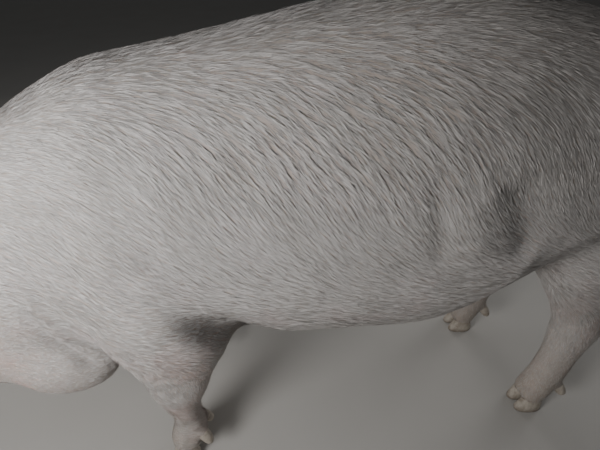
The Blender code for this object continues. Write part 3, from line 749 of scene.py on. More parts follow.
def legFoldsInto(push, points):
    for name, foot in feet().items():
        near = np.flatnonzero(
            (points[:, 2] < 0.40)
            & (np.abs(points[:, 1] - foot.y) < 0.075)
            & (np.abs(points[:, 0] - foot.x - 0.02) < 0.15)
        )
        here = points[near]
        wander = 0.006 * noise(here, 0.05, 5)
        uneven = ramp(noise(here, 0.045, 6), -0.35, 0.45)
        for z, depth, width, tilt, facing in legFolds[name[:4]]:
            level = here[:, 2] + wander + tilt * (here[:, 0] - foot.x)
            face = (here[:, 0] - foot.x - 0.01) / 0.05 * facing
            part = 1.0 if facing == 0 else ramp(face, -0.4, 0.4)
            push[near] -= 0.75 * uneven * depth / 1000 * part * np.exp(-(((level - z) / (width / 1000)) ** 2))


# How far the large folds of the body move each point.
def bodyFoldsAt(points):
    push = np.zeros(len(points))
    for places, height, width, rim in bodyFolds:
        for side in (-1, 1):
            path = onSide(side, [(x / 1000, z / 1000) for x, z in places])
            foldInto(push, points, path, height / 1000, width / 1000, rim / 1000)
    return push


def sculpt(piece):
    points, normals = pointsOf(piece), normalsOf(piece)
    share = partShares(points)
    plain = points - shiftRow
    push = np.zeros(len(points))
    for places, height, width, rim in headFolds:
        path = [p for s, a in places for p in onHead(1 if a >= 0 else -1, [(s, abs(a))])]
        foldInto(push, points, path, height / 1000, width / 1000, rim / 1000)
    for side in (-1, 1):
        for places, height, width, rim in cheekFolds:
            foldInto(push, points, onHead(side, places), height / 1000, width / 1000, rim / 1000)
    legFoldsInto(push, points)
    # soft unevenness of the flesh, then finer wrinkles where the hide is loose
    push *= 1 + 0.5 * noise(points, 0.035, 7)
    push += bodyFoldsAt(points) * (1 + 0.2 * noise(points, 0.10, 8))
    broad, fine = (height * noise(points, across, seed) for height, across, seed in skin["uneven"])
    push += broad * (1 - share["head"]) * (1 - share["leg"])
    push += fine
    loose = np.maximum(share["sack"], 0.5 * ramp(0.42 - plain[:, 2], 0.0, 0.08) * (1 - share["leg"]))
    push += skin["looseWrinkle"] * noise(points * [1, 1, 2.2], 0.016, 3) * loose
    deep, wide = skin["seam"]
    push -= deep * (share["sack"] * np.exp(-((plain[:, 1] / wide) ** 2)))
    depth = np.full(len(points), skin["bodyCoat"])
    depth += (skin["faceCoat"] - depth) * share["head"]
    depth += (skin["footCoat"] - depth) * share["leg"]
    depth += (skin["earCoat"] - depth) * np.maximum(share["tail"], share["sack"])
    local = toHead(points)
    depth *= ramp(local[:, 0], -0.005, 0.05) * 0.7 + 0.3
    points += normals * (push - depth)[:, None]
    # the hide ends at the top of the claws, higher in front than at the heel
    for foot in feet().values():
        near = (np.hypot(points[:, 0] - foot.x, points[:, 1] - foot.y) < 0.09) & (points[:, 2] < 0.06)
        height, slope = skin["top"]
        end = height - slope * (points[:, 0] - foot.x)
        low = near & (points[:, 2] < end)
        points[low, 2] = end[low] + 0.04 * (points[low, 2] - end[low])
        points[low, :2] += 0.12 * (np.array(foot[:2]) - points[low, :2])
    movePoints(piece, points)


sculpt(boarSkin)
thin = boarSkin.modifiers.new("thin", "DECIMATE")
boarSkin.data.calc_loop_triangles()
thin.ratio = skin["triangles"] / len(boarSkin.data.loop_triangles)
keepLargest(applied(boarSkin))
report(f"skin sculpted: {len(boarSkin.data.polygons)} faces")


# The mean of each point's neighbours, column by column.
def neighbourMean(rows, edges):
    count = len(rows)
    links = np.maximum(np.bincount(edges.ravel(), minlength=count), 1)
    first, second = edges.T
    total = [np.bincount(first, c[second], count) + np.bincount(second, c[first], count) for c in rows.T]
    return np.stack(total, 1) / links[:, None]


# Eases the points within so many edges of those marked, less and less with the distance.
def soften(piece, marked, rings, rounds):
    edges = edgesOf(piece)
    weight = marked.astype(float)
    for i in range(rings):
        reach = weight.copy()
        share = 1 - (i + 1) / (rings + 1)
        for a, b in ((0, 1), (1, 0)):
            np.maximum.at(reach, edges[:, a], np.where(weight[edges[:, b]] > share, share, 0))
        weight = reach
    points = pointsOf(piece)
    for _ in range(rounds):
        points += (neighbourMean(points, edges) - points) * (0.55 * weight)[:, None]
    movePoints(piece, points)


# Joins or cuts closed shells, then softens the line where they meet.
def combined(piece, others, operation, rings, rounds):
    known = set()
    for each in [piece] + others:
        known.update(row.tobytes() for row in pointsOf(each).astype(np.float32))
    group = bpy.data.collections.new("tools")
    for other in others:
        group.objects.link(other)
    boolean = piece.modifiers.new("join", "BOOLEAN")
    boolean.operand_type = "COLLECTION"
    boolean.collection = group
    boolean.operation = operation
    boolean.solver = "MANIFOLD"
    applied(piece)
    bpy.data.collections.remove(group)
    for other in others:
        bpy.data.objects.remove(other)
    marked = np.array([row.tobytes() not in known for row in pointsOf(piece).astype(np.float32)])
    soften(piece, marked, rings, rounds)
    report(f"{operation.lower()}: {marked.sum()} points softened")
    return piece


snout = {
    "half": 0.0575,
    "up": 0.0505,
    "down": 0.0490,
    "square": 2.35,
    "middle": 0.0015,  # the disc stands this high in the frame of the head
    "face": 0.0212,  # its flat face stands this far ahead
    # ahead of the muzzle, share of the full outline
    "profile": [
        (-0.026, 0.74), (-0.016, 0.84), (-0.008, 0.91), (-0.001, 0.965), (0.004, 1.000), (0.008, 1.012),
        (0.012, 1.012), (0.016, 0.990), (0.019, 0.955), (0.0212, 0.900), (0.0220, 0.820), (0.0216, 0.700),
        (0.0212, 0.550), (0.0210, 0.350), (0.0210, 0.150),
    ],
    "rings": 30,
    "sides": 72,
    "voxel": 0.0016,
    "nostril": (0.0205, 0.001),  # to the side, up
    "nostrilHalf": (0.0088, 0.0126),
    "nostrilRim": (1.09, 0.0016),  # share of the opening, radius
    # into the snout, share of the opening
    "nostrilDepth": [
        (-0.006, 1.04), (0.0, 1.0), (0.005, 0.94), (0.010, 0.88), (0.015, 0.80), (0.020, 0.66), (0.024, 0.42),
    ],
}


def snoutInto(bm):
    across = headTurn @ Vector((0, 1, 0))
    rings = []
    keys = [(i, *key) for i, key in enumerate(snout["profile"])]
    for ahead, share in readBetween(keys, np.linspace(0, len(keys) - 1, snout["rings"])):
        centre = head @ Vector((-ahead, 0, snout["middle"]))
        half, above, below = (snout[name] * share for name in ("half", "up", "down"))
        rings.append((centre, across, headUp, half, above, below))
    loftInto(bm, rings, snout["sides"], snout["square"])


# A closed ring of a round tube, for the rims of the nostrils and the lids.
def hoopInto(bm, points, radius, sides=8):
    ways = [(b - a).normalized() for a, b in zip(points[-1:] + points, points[1:] + points[:1])]
    loops = []
    for here, way, across in zip(points, ways, carried(ways)):
        place = Matrix.Translation(here) @ Matrix((across, way.cross(across), way)).transposed().to_4x4()
        ring = bmesh.ops.create_circle(bm, segments=sides, radius=radius, matrix=place)["verts"]
        loops.append(edgesAt(ring))
    bridged(bm, loops, closed=True)


# The opening of a nostril, wider above and drawn out below its outer side.
def nostrilRing(side, into, share, count=28):
    y, z = snout["nostril"]
    wide, high = snout["nostrilHalf"]
    points = []
    for i in range(count):
        a = i / count * 2 * math.pi - math.pi
        reach = share * (1 + 0.24 * math.exp(-(((a + 0.85) / 0.38) ** 2)))
        across = y + wide * math.cos(a) * (1 + 0.14 * math.sin(a)) * reach - 0.12 * into
        up = z + high * math.sin(a) * reach + 0.15 * into
        points.append(head @ Vector((into - snout["face"], side * across, up)))
    return points


def nostrilRimInto(bm, side):
    share, radius = snout["nostrilRim"]
    hoopInto(bm, nostrilRing(side, 0.0, share), radius)


# A point on the swell of the lids, at shares of the half width and height of the opening.
def lidPoint(side, across, lift, sunkIn=0.0):
    centre, axes = eyeFrames[side]
    flat = Vector((eye["openHalf"] * across, 0, eye["openUp"] * lift))
    wide, deep, high = eye["mound"]
    mound = deep * math.sqrt(max(0.0, 1 - (flat.x / wide) ** 2 - (flat.z / high) ** 2))
    ball = math.sqrt(max(0.0, (eye["radius"] + 0.0013) ** 2 - flat.x**2 - flat.z**2))
    return centre + axes @ Vector((flat.x, max(mound - 0.0012, ball) - sunkIn, flat.z))


def lidRimInto(bm, side):
    points = []
    for i in range(28):
        a = i / 28 * 2 * math.pi
        lift = math.sin(a) * (0.80 + 0.20 * abs(math.sin(a)))
        points.append(lidPoint(side, math.cos(a), lift * (1.0 if lift > 0 else 0.92)))
    hoopInto(bm, points, eye["rim"])


# Soft folds of the lids: reach across and up as shares of the opening, from and to degrees,
# radius in millimetres.
lidFolds = [(1.24, 1.80, 10, 172, 2.3), (1.16, 1.75, 195, 350, 1.4)]


def lidFoldsInto(bm, side):
    for wide, high, start, end, radius in lidFolds:
        turns = np.radians(np.linspace(start, end, 17))
        points = [lidPoint(side, wide * math.cos(a), high * math.sin(a), 0.0008) for a in turns]
        radii = [radius / 1000 * (0.35 + 0.65 * math.sin(i / 16 * math.pi) ** 0.6) for i in range(17)]
        tubeInto(bm, points, radii, 8)


def mouthCutInto(bm):
    start, end, half = mouth["cut"]
    loops = []
    for point, way in mouthLine:
        corners = []
        for reach, lift in ((start, -1), (end, -1), (end, 1), (start, 1)):
            corners.append(bm.verts.new(point + way * reach + headUp * lift * half))
        loops.append([bm.edges.new((corners[i], corners[(i + 1) % 4])) for i in range(4)])
    bridged(bm, loops)


# Closed shells, one from each pair of a function and its values.
def shellOf(name, makers):
    made = []
    for i, (maker, values) in enumerate(makers):
        bm = bmesh.new()
        maker(bm, *values)
        made.append(shells(bm, f"{name}{i}"))
    return made


def lipInto(bm, lift, radius, frontSunk):
    count = len(mouthLine) - 1
    points, radii = [], []
    for i, (point, way) in enumerate(mouthLine):
        fade = min(1.0, i / 10, (count - i) / 10)
        front = math.exp(-(((i / count - 0.5) / 0.2) ** 2))
        sunk = mouth["lipSunk"] + 0.007 * (1 - fade) + frontSunk * front
        points.append(point + headUp * lift * fade - way * sunk)
        radii.append(mouth["lipEnd"] + (radius - mouth["lipEnd"]) * fade)
    tubeInto(bm, points, radii)


def eyeMoundInto(bm, side):
    centre, axes = eyeFrames[side]
    ballInto(bm, centre + axes @ Vector(eye["moundPlace"]), eye["mound"], axes, 5)


def eyeSocketInto(bm, side):
    centre, axes = eyeFrames[side]
    ballInto(bm, centre, (eye["radius"] + 0.0003,) * 3, axes, 4)


def eyeSlitInto(bm, side):
    centre, axes = eyeFrames[side]
    place, radii = eye["slit"]
    ballInto(bm, centre + axes @ Vector(place), radii, axes, 4)


def nostrilInto(bm, side):
    loops = []
    for into, share in snout["nostrilDepth"]:
        ring = [bm.verts.new(p) for p in nostrilRing(side, into, share)]
        loops.append([bm.edges.new(pair) for pair in zip(ring, ring[1:] + ring[:1])])
    bridged(bm, loops)


# Wrinkles round the eye. They part behind it and close up before it:
# (forward, up) as shares of the opening, then height and width in millimetres.
eyeLines = [
    ([(1.35, 0.20), (1.00, 1.90), (0.10, 2.55), (-1.00, 2.25), (-1.95, 1.05)], -1.9, 1.9),
    ([(1.55, 0.90), (0.90, 3.10), (-0.30, 4.00), (-1.70, 3.40), (-2.90, 1.70)], -1.7, 2.3),
    ([(1.80, 2.20), (0.90, 4.70), (-0.60, 5.60), (-2.20, 4.90)], -1.2, 2.8),
    ([(1.45, -0.60), (0.90, -1.90), (0.00, -2.35), (-1.00, -2.00), (-1.80, -0.80)], -1.5, 1.7),
    ([(1.60, -1.30), (0.80, -3.20), (-0.50, -4.00), (-1.80, -3.30), (-2.90, -1.60)], -1.5, 2.2),
    ([(1.70, -2.60), (0.60, -4.90), (-1.10, -5.80), (-2.70, -4.80)], -1.3, 2.7),
    ([(-1.50, -0.20), (-2.30, -0.70), (-3.20, -0.60)], -1.0, 1.7),
    ([(-1.60, 0.70), (-2.40, 0.60), (-3.40, 0.90)], -0.9, 1.7),
    ([(1.50, -0.20), (2.10, -0.90), (2.70, -2.00)], -1.2, 1.9),
]


def wrinkleLids():
    tree = treeOf(boarSkin)
    points, normals = pointsOf(boarSkin), normalsOf(boarSkin)
    push = np.zeros(len(points))
    for centre, axes in eyeFrames.values():
        for places, height, width in eyeLines:
            path = []
            line = np.array([(i, *place) for i, place in enumerate(places)])
            for forward, up in readBetween(line, np.linspace(0, len(places) - 1, 14)):
                flat = Vector((eye["openHalf"] * forward, 0.07, eye["openUp"] * up))
                found = hit(centre + axes @ flat, axes @ Vector((0, -1, 0)), tree)
                if found is not None:
                    path.append(found)
            foldInto(push, points, path, height / 1000, width / 1000, 0.0004)
    movePoints(boarSkin, points + normals * push[:, None])


# The face of the snout: a groove inside its rim, a cleft below, and fine uneven creases.
def wrinkleSnout():
    points, normals = pointsOf(boarSkin), normalsOf(boarSkin)
    local = toHead(points)
    y, z = local[:, 1] / snout["half"], (local[:, 2] - snout["middle"]) / snout["up"]
    reach, turn = np.hypot(y, z), np.arctan2(z, y)
    face = 1 - ramp(local[:, 0], -0.018, -0.008)
    push = -0.0011 * np.exp(-(((reach - 0.76) / 0.07) ** 2)) * (0.6 + 0.4 * ramp(z, -0.2, 0.5))
    push -= 0.0013 * np.exp(-((local[:, 1] / 0.0022) ** 2)) * ramp(-z, 0.0, 0.25)
    push += 0.0002 * np.sin(turn * 34 + 3 * noise(points, 0.02, 51)) * ramp(reach, 0.72, 0.95)
    push += 0.0004 * noise(points, 0.0045, 52) + 0.0005 * noise(points, 0.011, 53)
    movePoints(boarSkin, points + normals * (push * face)[:, None])


def addFineParts():
    sides = (-1, 1)
    combined(boarSkin, shellOf("ear", [(earInto, (side,)) for side in sides]), "UNION", 7, 22)
    disc = [remeshed(shell, snout["voxel"], 4) for shell in shellOf("disc", [(snoutInto, ())])]
    combined(boarSkin, disc, "UNION", 7, 22)
    combined(boarSkin, shellOf("lids", [(eyeMoundInto, (side,)) for side in sides]), "UNION", 8, 34)
    parts = [(lipInto, mouth[which]) for which in ("upperLip", "lowerLip")]
    parts += [(nostrilRimInto, (side,)) for side in sides]
    combined(boarSkin, shellOf("part", parts), "UNION", 3, 6)
    report("ears, snout and lips joined")
    combined(boarSkin, shellOf("fold", [(lidFoldsInto, (side,)) for side in sides]), "UNION", 2, 4)
    cuts = [(mouthCutInto, ())]
    for side in sides:
        cuts += [(eyeSocketInto, (side,)), (eyeSlitInto, (side,)), (nostrilInto, (side,))]
    combined(boarSkin, shellOf("cut", cuts), "DIFFERENCE", 1, 2)
    combined(boarSkin, shellOf("rim", [(lidRimInto, (side,)) for side in sides]), "UNION", 1, 2)
    keepLargest(boarSkin)
    wrinkleLids()
    wrinkleSnout()


addFineParts()
report(f"skin whole: {len(boarSkin.data.polygons)} faces")


# The finished skin as arrays, for the coat that grows on it.
class Hide:
    def __init__(self, piece):
        # painted shade gathers where the folds are deep
        self.foldShade = np.clip(-bodyFoldsAt(pointsOf(piece)) / 0.017, 0, 1) ** 1.2
        piece.data.calc_loop_triangles()
        self.corners = rowsOf(piece.data.loop_triangles, "vertices", 3, np.int32)
        self.points = pointsOf(piece)
        self.normals = normalsOf(piece)
        self.edges = edgesOf(piece)
        self.share = partShares(self.points)
        self.tree = treeOf(piece)


hide = Hide(boarSkin)

# The lie of the coat on the trunk: height, degrees below level.
trunkLie = [
    (0.40, -2), (0.46, 2), (0.52, 12), (0.56, 22), (0.61, 33), (0.68, 50), (0.73, 56), (0.79, 52), (0.84, 42),
    (0.88, 31), (0.93, 18), (0.98, 6),
]
# The same as a share, from the neck back to the flank.
trunkLieAlong = [
    (-0.75, 0.25), (-0.60, 0.35), (-0.52, 0.45), (-0.43, 0.82), (-0.32, 0.98), (0.0, 1.0), (0.2, 1.12),
]
# The turn down over the rump: place along, degrees.
rumpLie = [(0.30, 0), (0.42, 14), (0.52, 34), (0.60, 60), (0.66, 85)]


# Which way the hairs point at each point of the hide.
def lieOfCoat(points, normals, edges, share):
    plain = points - shiftRow
    x, y, z = plain.T
    side = np.where(y < 0, -1.0, 1.0)
    angle = readBetween(trunkLie, z)[:, 0]
    part = readBetween(trunkLieAlong, x)[:, 0]
    angle = angle * (1 + (part - 1) * ramp(z, 0.60, 0.74))
    angle += readBetween(rumpLie, x)[:, 0] * ramp(z, 0.25, 0.6)
    angle += 34 * (1 - ramp(x, -0.50, -0.42)) * (1 - ramp(z, 0.38, 0.52))
    nearLeg = np.maximum(1 - ramp(np.abs(x - body["foreX"]), 0.10, 0.17), ramp(x, 0.20, 0.30))
    leg = (1 - ramp(z, 0.30, 0.47)) * ramp(np.abs(y), 0.045, 0.08) * nearLeg
    angle += (82 - angle) * leg
    angle = np.radians(np.clip(angle, 0, 88))
    way = np.stack([np.cos(angle), np.zeros(len(x)), -np.sin(angle)], 1)
    local = toHead(points)
    cheek = ramp(0.05 - local[:, 2], 0.0, 0.12) * ramp(np.abs(local[:, 1]), 0.03, 0.08)
    cheek *= ramp(local[:, 0], 0.08, 0.25)
    turn = np.array(headTurn)
    faceWay = np.stack([np.ones(len(x)), 0.10 * side, -0.05 - 0.40 * cheek], 1) @ turn.T
    way += (unit(faceWay) - way) * share["head"][:, None]
    for earSide in (-1, 1):
        across = onEar(points, earSide)[1]
        axes = np.array(earFrame(earSide)[1])
        earWay = np.stack([0.35 * np.sin(across), np.zeros(len(x)), np.ones(len(x))], 1) @ axes.T
        on = share["ear"] * (y * earSide > 0)
        way += (unit(earWay) - way) * on[:, None]
    path = np.array([tuple(p) for p in tailPath()])
    on = np.flatnonzero(share["tail"] > 0.01)
    if len(on):
        step = np.argmin(((points[on, None] - path[None]) ** 2).sum(2), 1)
        tailWay = path[np.minimum(step + 1, len(path) - 1)] - path[np.maximum(step - 1, 0)]
        way[on] += (unit(tailWay) - way[on]) * share["tail"][on, None]
    way += (np.array([0.15, 0, -1.0]) - way) * share["sack"][:, None]
    for _ in range(14):
        way = unit(way + 1.5 * neighbourMean(way, edges))
    way -= normals * (way * normals).sum(1, keepdims=True)
    return unit(way)


# Coat: flat tapered tufts of bristle, in joined meshes. Lengths in metres.
coat = {
    "tufts": 500000,
    "seed": 11,
    "perClump": 7,  # tufts whose tips draw together
    "length": 0.027,
    "width": 0.00100,
    "lift": 0.0020,
    "least": {"length": 0.006, "width": 0.00075, "lift": 0.0007},
    "earLength": 0.010,
    "tailLength": 0.015,
    "sackLength": 0.009,
    # each tuft has its own share of length, width and lift
    "lengthShare": (0.72, 1.18),
    "widthShare": (0.75, 1.2),
    "liftShare": (0.45, 1.25),
    "stray": 0.09,  # share of bristles that stand longer and looser on the head
    "strayLength": (1.5, 2.3),
    "strayLift": (2.0, 4.5),
    "draw": (0.10, 0.60),  # how much the tips of a clump draw together
    "faceLength": [(0.0, 0.0040), (0.05, 0.0055), (0.15, 0.0075), (0.30, 0.010), (0.45, 0.014), (0.60, 0.022)],
    "legLength": [(0.03, 0.007), (0.10, 0.009), (0.22, 0.011), (0.36, 0.018)],
    "streakApart": 0.0036,  # half the distance between dark lines
    "streakStep": 0.0052,
    "patch": 0.003,  # size of one tuft on the unwrap
    "most": 64000,  # tufts in one piece
}


# Length, width, lift and number of tufts for each point of the hide.
def coatFields(points, share):
    plain = points - shiftRow
    x, y, z = plain.T
    local = toHead(points)
    belly = 1 - ramp(z, 0.34, 0.44)
    length = coat["length"] * (1 + 0.18 * ramp(z, 0.72, 0.86) - 0.25 * belly)
    face = readBetween(coat["faceLength"], local[:, 0])[:, 0]
    length += (face - length) * share["head"]
    length -= 0.006 * (1 - ramp(x, -0.50, -0.30)) * (1 - ramp(z, 0.72, 0.84))
    legLength = readBetween(coat["legLength"], z)[:, 0]
    length += (legLength - length) * share["leg"]
    for name in ("ear", "tail", "sack"):
        length += (coat[name + "Length"] - length) * share[name]
    least = coat["least"]
    short = np.clip((length - least["length"]) / (coat["length"] - least["length"]), 0, 1)
    width, lift = (least[name] + (coat[name] - least[name]) * short for name in ("width", "lift"))
    many = 1.0 + 1.1 * share["head"] + 0.35 * share["leg"] + 0.9 * share["tail"] - 0.25 * belly
    many *= 1 - 0.65 * share["sack"]
    for side in (-1, 1):
        across, off = onEar(points, side)[1:]
        inside = share["ear"] * (y * side > 0) * (off < 0)
        many *= 1 + 0.5 * share["ear"] * (y * side > 0)
        many *= 1 - 0.80 * inside * ramp(1.0 - np.abs(across), 0.10, 0.35)
    bare = bareShare(points)
    many *= 1 - np.clip(bare * 1.4, 0, 1)
    return length, width, lift, np.maximum(many, 0)


# Where the hide carries no hair: snout disc, lips, lid edges, nostrils, soles.
def bareShare(points):
    local = toHead(points)
    bare = 1 - ramp(local[:, 0], 0.002, 0.012)
    near = np.flatnonzero(local[:, 0] < 0.26)
    far = nearPath(points[near], [p for p, _ in mouthLine])[0]
    bare[near] = np.maximum(bare[near], 0.45 * (1 - ramp(far, 0.002, 0.006)))
    for centre, axes in eyeFrames.values():
        there = (points - np.array(centre)) @ np.array(axes)
        forward, out, up = there.T
        reach = np.sqrt((forward / 0.0160) ** 2 + (up / 0.0090) ** 2 + (np.maximum(-out, 0) / 0.05) ** 2)
        bare = np.maximum(bare, (1 - ramp(reach, 0.85, 1.25)) * (np.abs(out) < 0.03))
    plain = points - shiftRow
    return np.maximum(bare, 1 - ramp(plain[:, 2], 0.036, 0.041))


hideWay = lieOfCoat(hide.points, hide.normals, hide.edges, hide.share)
report("lie of the coat")


# Random places over the hide, as corner numbers and weights, more where many is larger.
def scatter(count, many, rng):
    tri = hide.corners
    a, b, c = (hide.points[tri[:, i]] for i in range(3))
    area = np.linalg.norm(np.cross(b - a, c - a), axis=1) / 2 * many[tri].mean(1)
    sums = np.cumsum(area)
    pick = (np.arange(count) + rng.random(count)) / count * sums[-1]
    face = np.minimum(np.searchsorted(sums, pick), len(tri) - 1)
    u, v = rng.random(count), rng.random(count)
    over = u + v > 1
    u[over], v[over] = 1 - u[over], 1 - v[over]
    return tri[face], np.stack([1 - u - v, u, v], 1)


# A field of the hide read at places on its triangles.
def mixed(field, corners, weights):
    picked = field[corners]
    if picked.ndim == 2:
        return (picked * weights).sum(1)
    return (picked * weights[:, :, None]).sum(1)


# The nearest place on the hide to each point, raised by lift.
def laidOn(points, lift):
    made = np.empty_like(points)
    find = hide.tree.find_nearest
    for i, (point, rise) in enumerate(zip(points.tolist(), lift.tolist())):
        place, normal = find(point)[:2]
        made[i] = place + normal * rise
    return made


def turnedAbout(rows, axis, angle):
    c, s = np.cos(angle)[:, None], np.sin(angle)[:, None]
    return rows * c + np.cross(axis, rows) * s


# Ridges above 0 and partings below 0, drawn out along the lie of the coat.
def streaks(places, ways):
    total = np.zeros(len(places))
    for step in range(-3, 4):
        total += noise(places + ways * (coat["streakStep"] * step), coat["streakApart"], 41)
    return total / 0.55


# Partings show on the back and the flank, and hardly on the shoulder, head and legs.
def streakShare(places, share):
    plain = places - shiftRow
    made = 0.16 + 0.84 * ramp(plain[:, 0], -0.52, -0.22) * ramp(plain[:, 2], 0.65, 0.81)
    made = np.maximum(made, 0.85 * ramp(plain[:, 2], 0.76, 0.88))
    made *= 1 - 0.78 * ramp(plain[:, 0], -0.02, 0.22)
    for name in ("head", "leg", "ear", "tail", "sack"):
        made += (0.12 - made) * share[name]
    return made


# Swings each tuft a little out of the lie of the coat and away from the partings. Gives the ridges too.
def swung(root, normal, way, strong, rng):
    swing = 0.13 * noise(root, 0.075, 21) + 0.10 * noise(root, 0.028, 22) + rng.normal(0, 0.065, len(root))
    way = unit(turnedAbout(unit(way), normal, swing))
    ridge = streaks(root, way)
    sideways = np.cross(normal, way)
    slope = streaks(root + sideways * 0.002, way) - streaks(root - sideways * 0.002, way)
    return unit(turnedAbout(way, normal, 0.12 * np.clip(slope, -1.5, 1.5) * strong)), ridge


# Length, width and lift of each tuft: less in the deep folds, more for stray bristles.
def tuftSizes(fields, corners, weights, swell, foldShade, loose, rng):
    count = len(corners)
    spans = (coat[name + "Share"] for name in ("length", "width", "lift"))
    long, wide, rise = (mixed(f, corners, weights) * rng.uniform(*s, count) for f, s in zip(fields, spans))
    rise *= swell
    long *= 1 - 0.45 * foldShade
    rise *= 1 - 0.5 * foldShade
    stray = rng.random(count) < coat["stray"] * loose
    long[stray] *= rng.uniform(*coat["strayLength"], stray.sum())
    rise[stray] *= rng.uniform(*coat["strayLift"], stray.sum())
    wide[stray] *= 0.75
    return long, wide, rise


# The tufts that lead the clumps, and which of them is nearest to each tuft.
def clumpsOf(root, rng):
    chosen = rng.choice(len(root), len(root) // coat["perClump"], replace=False)
    tree = KDTree(len(chosen))
    for i, place in enumerate(root[chosen].tolist()):
        tree.insert(place, i)
    tree.balance()
    return chosen, np.array([tree.find(place)[1] for place in root.tolist()])


# All tufts: their root, middle, tip and the way across, with what colours them.
def growCoat():
    rng = np.random.default_rng(coat["seed"])
    *fields, many = coatFields(hide.points, hide.share)
    corners, weights = scatter(coat["tufts"], many, rng)
    count = len(corners)
    root = mixed(hide.points, corners, weights)
    normal = unit(mixed(hide.normals, corners, weights))
    share = {name: mixed(field, corners, weights) for name, field in hide.share.items()}
    strong = streakShare(root, share)
    way, ridge = swung(root, normal, mixed(hideWay, corners, weights), strong, rng)
    parting = ramp(-ridge, 0.55, 1.35) * strong
    kept = rng.random(count) > 0.35 * parting
    swell = 1 + 0.55 * np.clip(ridge, -1.6, 1.6) * strong
    foldShade = mixed(hide.foldShade, corners, weights)
    loose = share["head"] + share["ear"] + 0.6 * share["leg"]
    long, wide, rise = tuftSizes(fields, corners, weights, swell, foldShade, loose, rng)
    # tips of near tufts draw together
    chosen, own = clumpsOf(root, rng)
    leader = chosen[own]
    pull = rng.uniform(*coat["draw"], len(chosen))[own]
    pull *= (normal * normal[leader]).sum(1) > 0.6  # not round an edge
    middle = root + way * (long * 0.48)[:, None]
    tip = root + way * long[:, None]
    leadTip = root[leader] + way[leader] * (long[leader] * rng.uniform(0.75, 1.05, count))[:, None]
    leadMiddle = root[leader] + way[leader] * (long[leader] * 0.45)[:, None]
    tip += (leadTip - tip) * (0.80 * pull)[:, None]
    middle += (leadMiddle - middle) * (0.42 * pull)[:, None]
    report(f"{count} tufts in {len(chosen)} clumps")
    middle = laidOn(middle, rise * 0.85)
    tip = laidOn(tip, rise * rng.uniform(0.5, 1.15, count))
    report("tufts laid on the hide")
    across = unit(np.cross(normal, tip - root))
    across = turnedAbout(across, unit(tip - root), rng.normal(0, 0.24, count))
    shade = rng.normal(0, 0.030, count) + rng.normal(0, 0.018, len(chosen))[own]
    shade += 0.025 * noise(root, 0.05, 31)
    # painted light on the ridges and painted shade in the partings
    shade += 0.020 * np.clip(ridge, -1, 1) * strong - 0.23 * parting
    # painted shade in the deep folds
    shade -= 0.26 * foldShade * (1 + 0.3 * noise(root, 0.03, 33))
    root = root - normal * 0.0006
    made = {
        "root": root,
        "middle": middle,
        "tip": tip,
        "across": across,
        "width": wide,
        "shade": shade,
        "normal": normal,
    }
    made = {name: rows[kept] for name, rows in made.items()}
    made["share"] = {name: rows[kept] for name, rows in share.items()}
    return made


# Where each root lies on an unwrap of the hide: its chart by number, and two shares over that chart.
def unwrap(root, normal, share):
    plain = root - shiftRow
    x, y, z = plain.T
    chart = np.zeros(len(x), int)
    a = (x + 0.75) / 1.42
    b = np.arctan2(y, z - body["axisHeight"]) / (2 * math.pi) + 0.5
    local = toHead(root)
    on = share["head"] > 0.5
    chart[on] = 1
    a[on] = local[on, 0] / 0.60
    b[on] = np.arctan2(local[on, 1], local[on, 2]) / (2 * math.pi) + 0.5
    for i, foot in enumerate(feet().values()):
        on = (share["leg"] > 0.02) & (np.hypot(root[:, 0] - foot.x, root[:, 1] - foot.y) < 0.17)
        chart[on] = 2 + i
        a[on] = np.arctan2(root[on, 1] - foot.y, root[on, 0] - foot.x - 0.02) / (2 * math.pi) + 0.5
        b[on] = z[on] / 0.40
    for i, side in enumerate((-1, 1)):
        along, across, off = onEar(root, side)
        for inner in (0, 1):
            on = (share["ear"] > 0.05) & (y * side > 0) & ((off < 0) == bool(inner))
            chart[on] = 6 + 2 * i + inner
            a[on], b[on] = along[on], across[on] / 2.4 + 0.5
    for number, name in ((10, "tail"), (11, "sack")):
        on = share[name] > 0.05
        chart[on] = number
        a[on] = (plain[on, 2] - 0.50) / 0.35
        b[on] = np.arctan2(normal[on, 1], normal[on, 2]) / (2 * math.pi) + 0.5
    return chart, np.clip(a, 0, 1), np.clip(b, 0, 1)


# One joined mesh of many like shapes. Rows holds the points of each, faces and patch serve all.
def joinedPiece(name, rows, faces, shade, tipward, patch, places):
    count, size = rows.shape[:2]
    corners = (np.arange(count)[:, None, None] * size + faces).reshape(-1)
    mesh = bpy.data.meshes.new(name)
    mesh.vertices.add(count * size)
    mesh.vertices.foreach_set("co", rows.astype(np.float32).ravel())
    mesh.loops.add(len(corners))
    mesh.loops.foreach_set("vertex_index", corners.astype(np.int32))
    mesh.polygons.add(len(corners) // 3)
    mesh.polygons.foreach_set("loop_start", np.arange(0, len(corners), 3, dtype=np.int32))
    mesh.polygons.foreach_set("use_smooth", np.ones(len(corners) // 3, bool))
    for label, values in (("shade", np.repeat(shade, size)), ("tipward", np.tile(tipward, count))):
        mesh.attributes.new(label, "FLOAT", "POINT").data.foreach_set("value", values.astype(np.float32))
    # charts side by side, each shape a small patch at its root
    chart, a, b = places
    used = np.unique(chart)
    columns = math.ceil(math.sqrt(len(used)))
    cell = np.searchsorted(used, chart)
    if len(used) == 1:
        a = (a - a.min()) / max(a.max() - a.min(), 1e-6)
    spread = np.stack([cell % columns + 0.02 + 0.96 * a, cell // columns + 0.02 + 0.96 * b], 1)
    centre = spread / columns
    spots = np.clip(centre[:, None] + np.array(patch)[None] * coat["patch"], 0, 1).reshape(-1, 2)
    layer = mesh.uv_layers.new(name="OFBake")
    layer.uv.foreach_set("vector", spots[corners].astype(np.float32).ravel())
    mesh.update()
    mesh.validate()
    made = bpy.data.objects.new(name, mesh)
    bpy.context.scene.collection.objects.link(made)
    return made


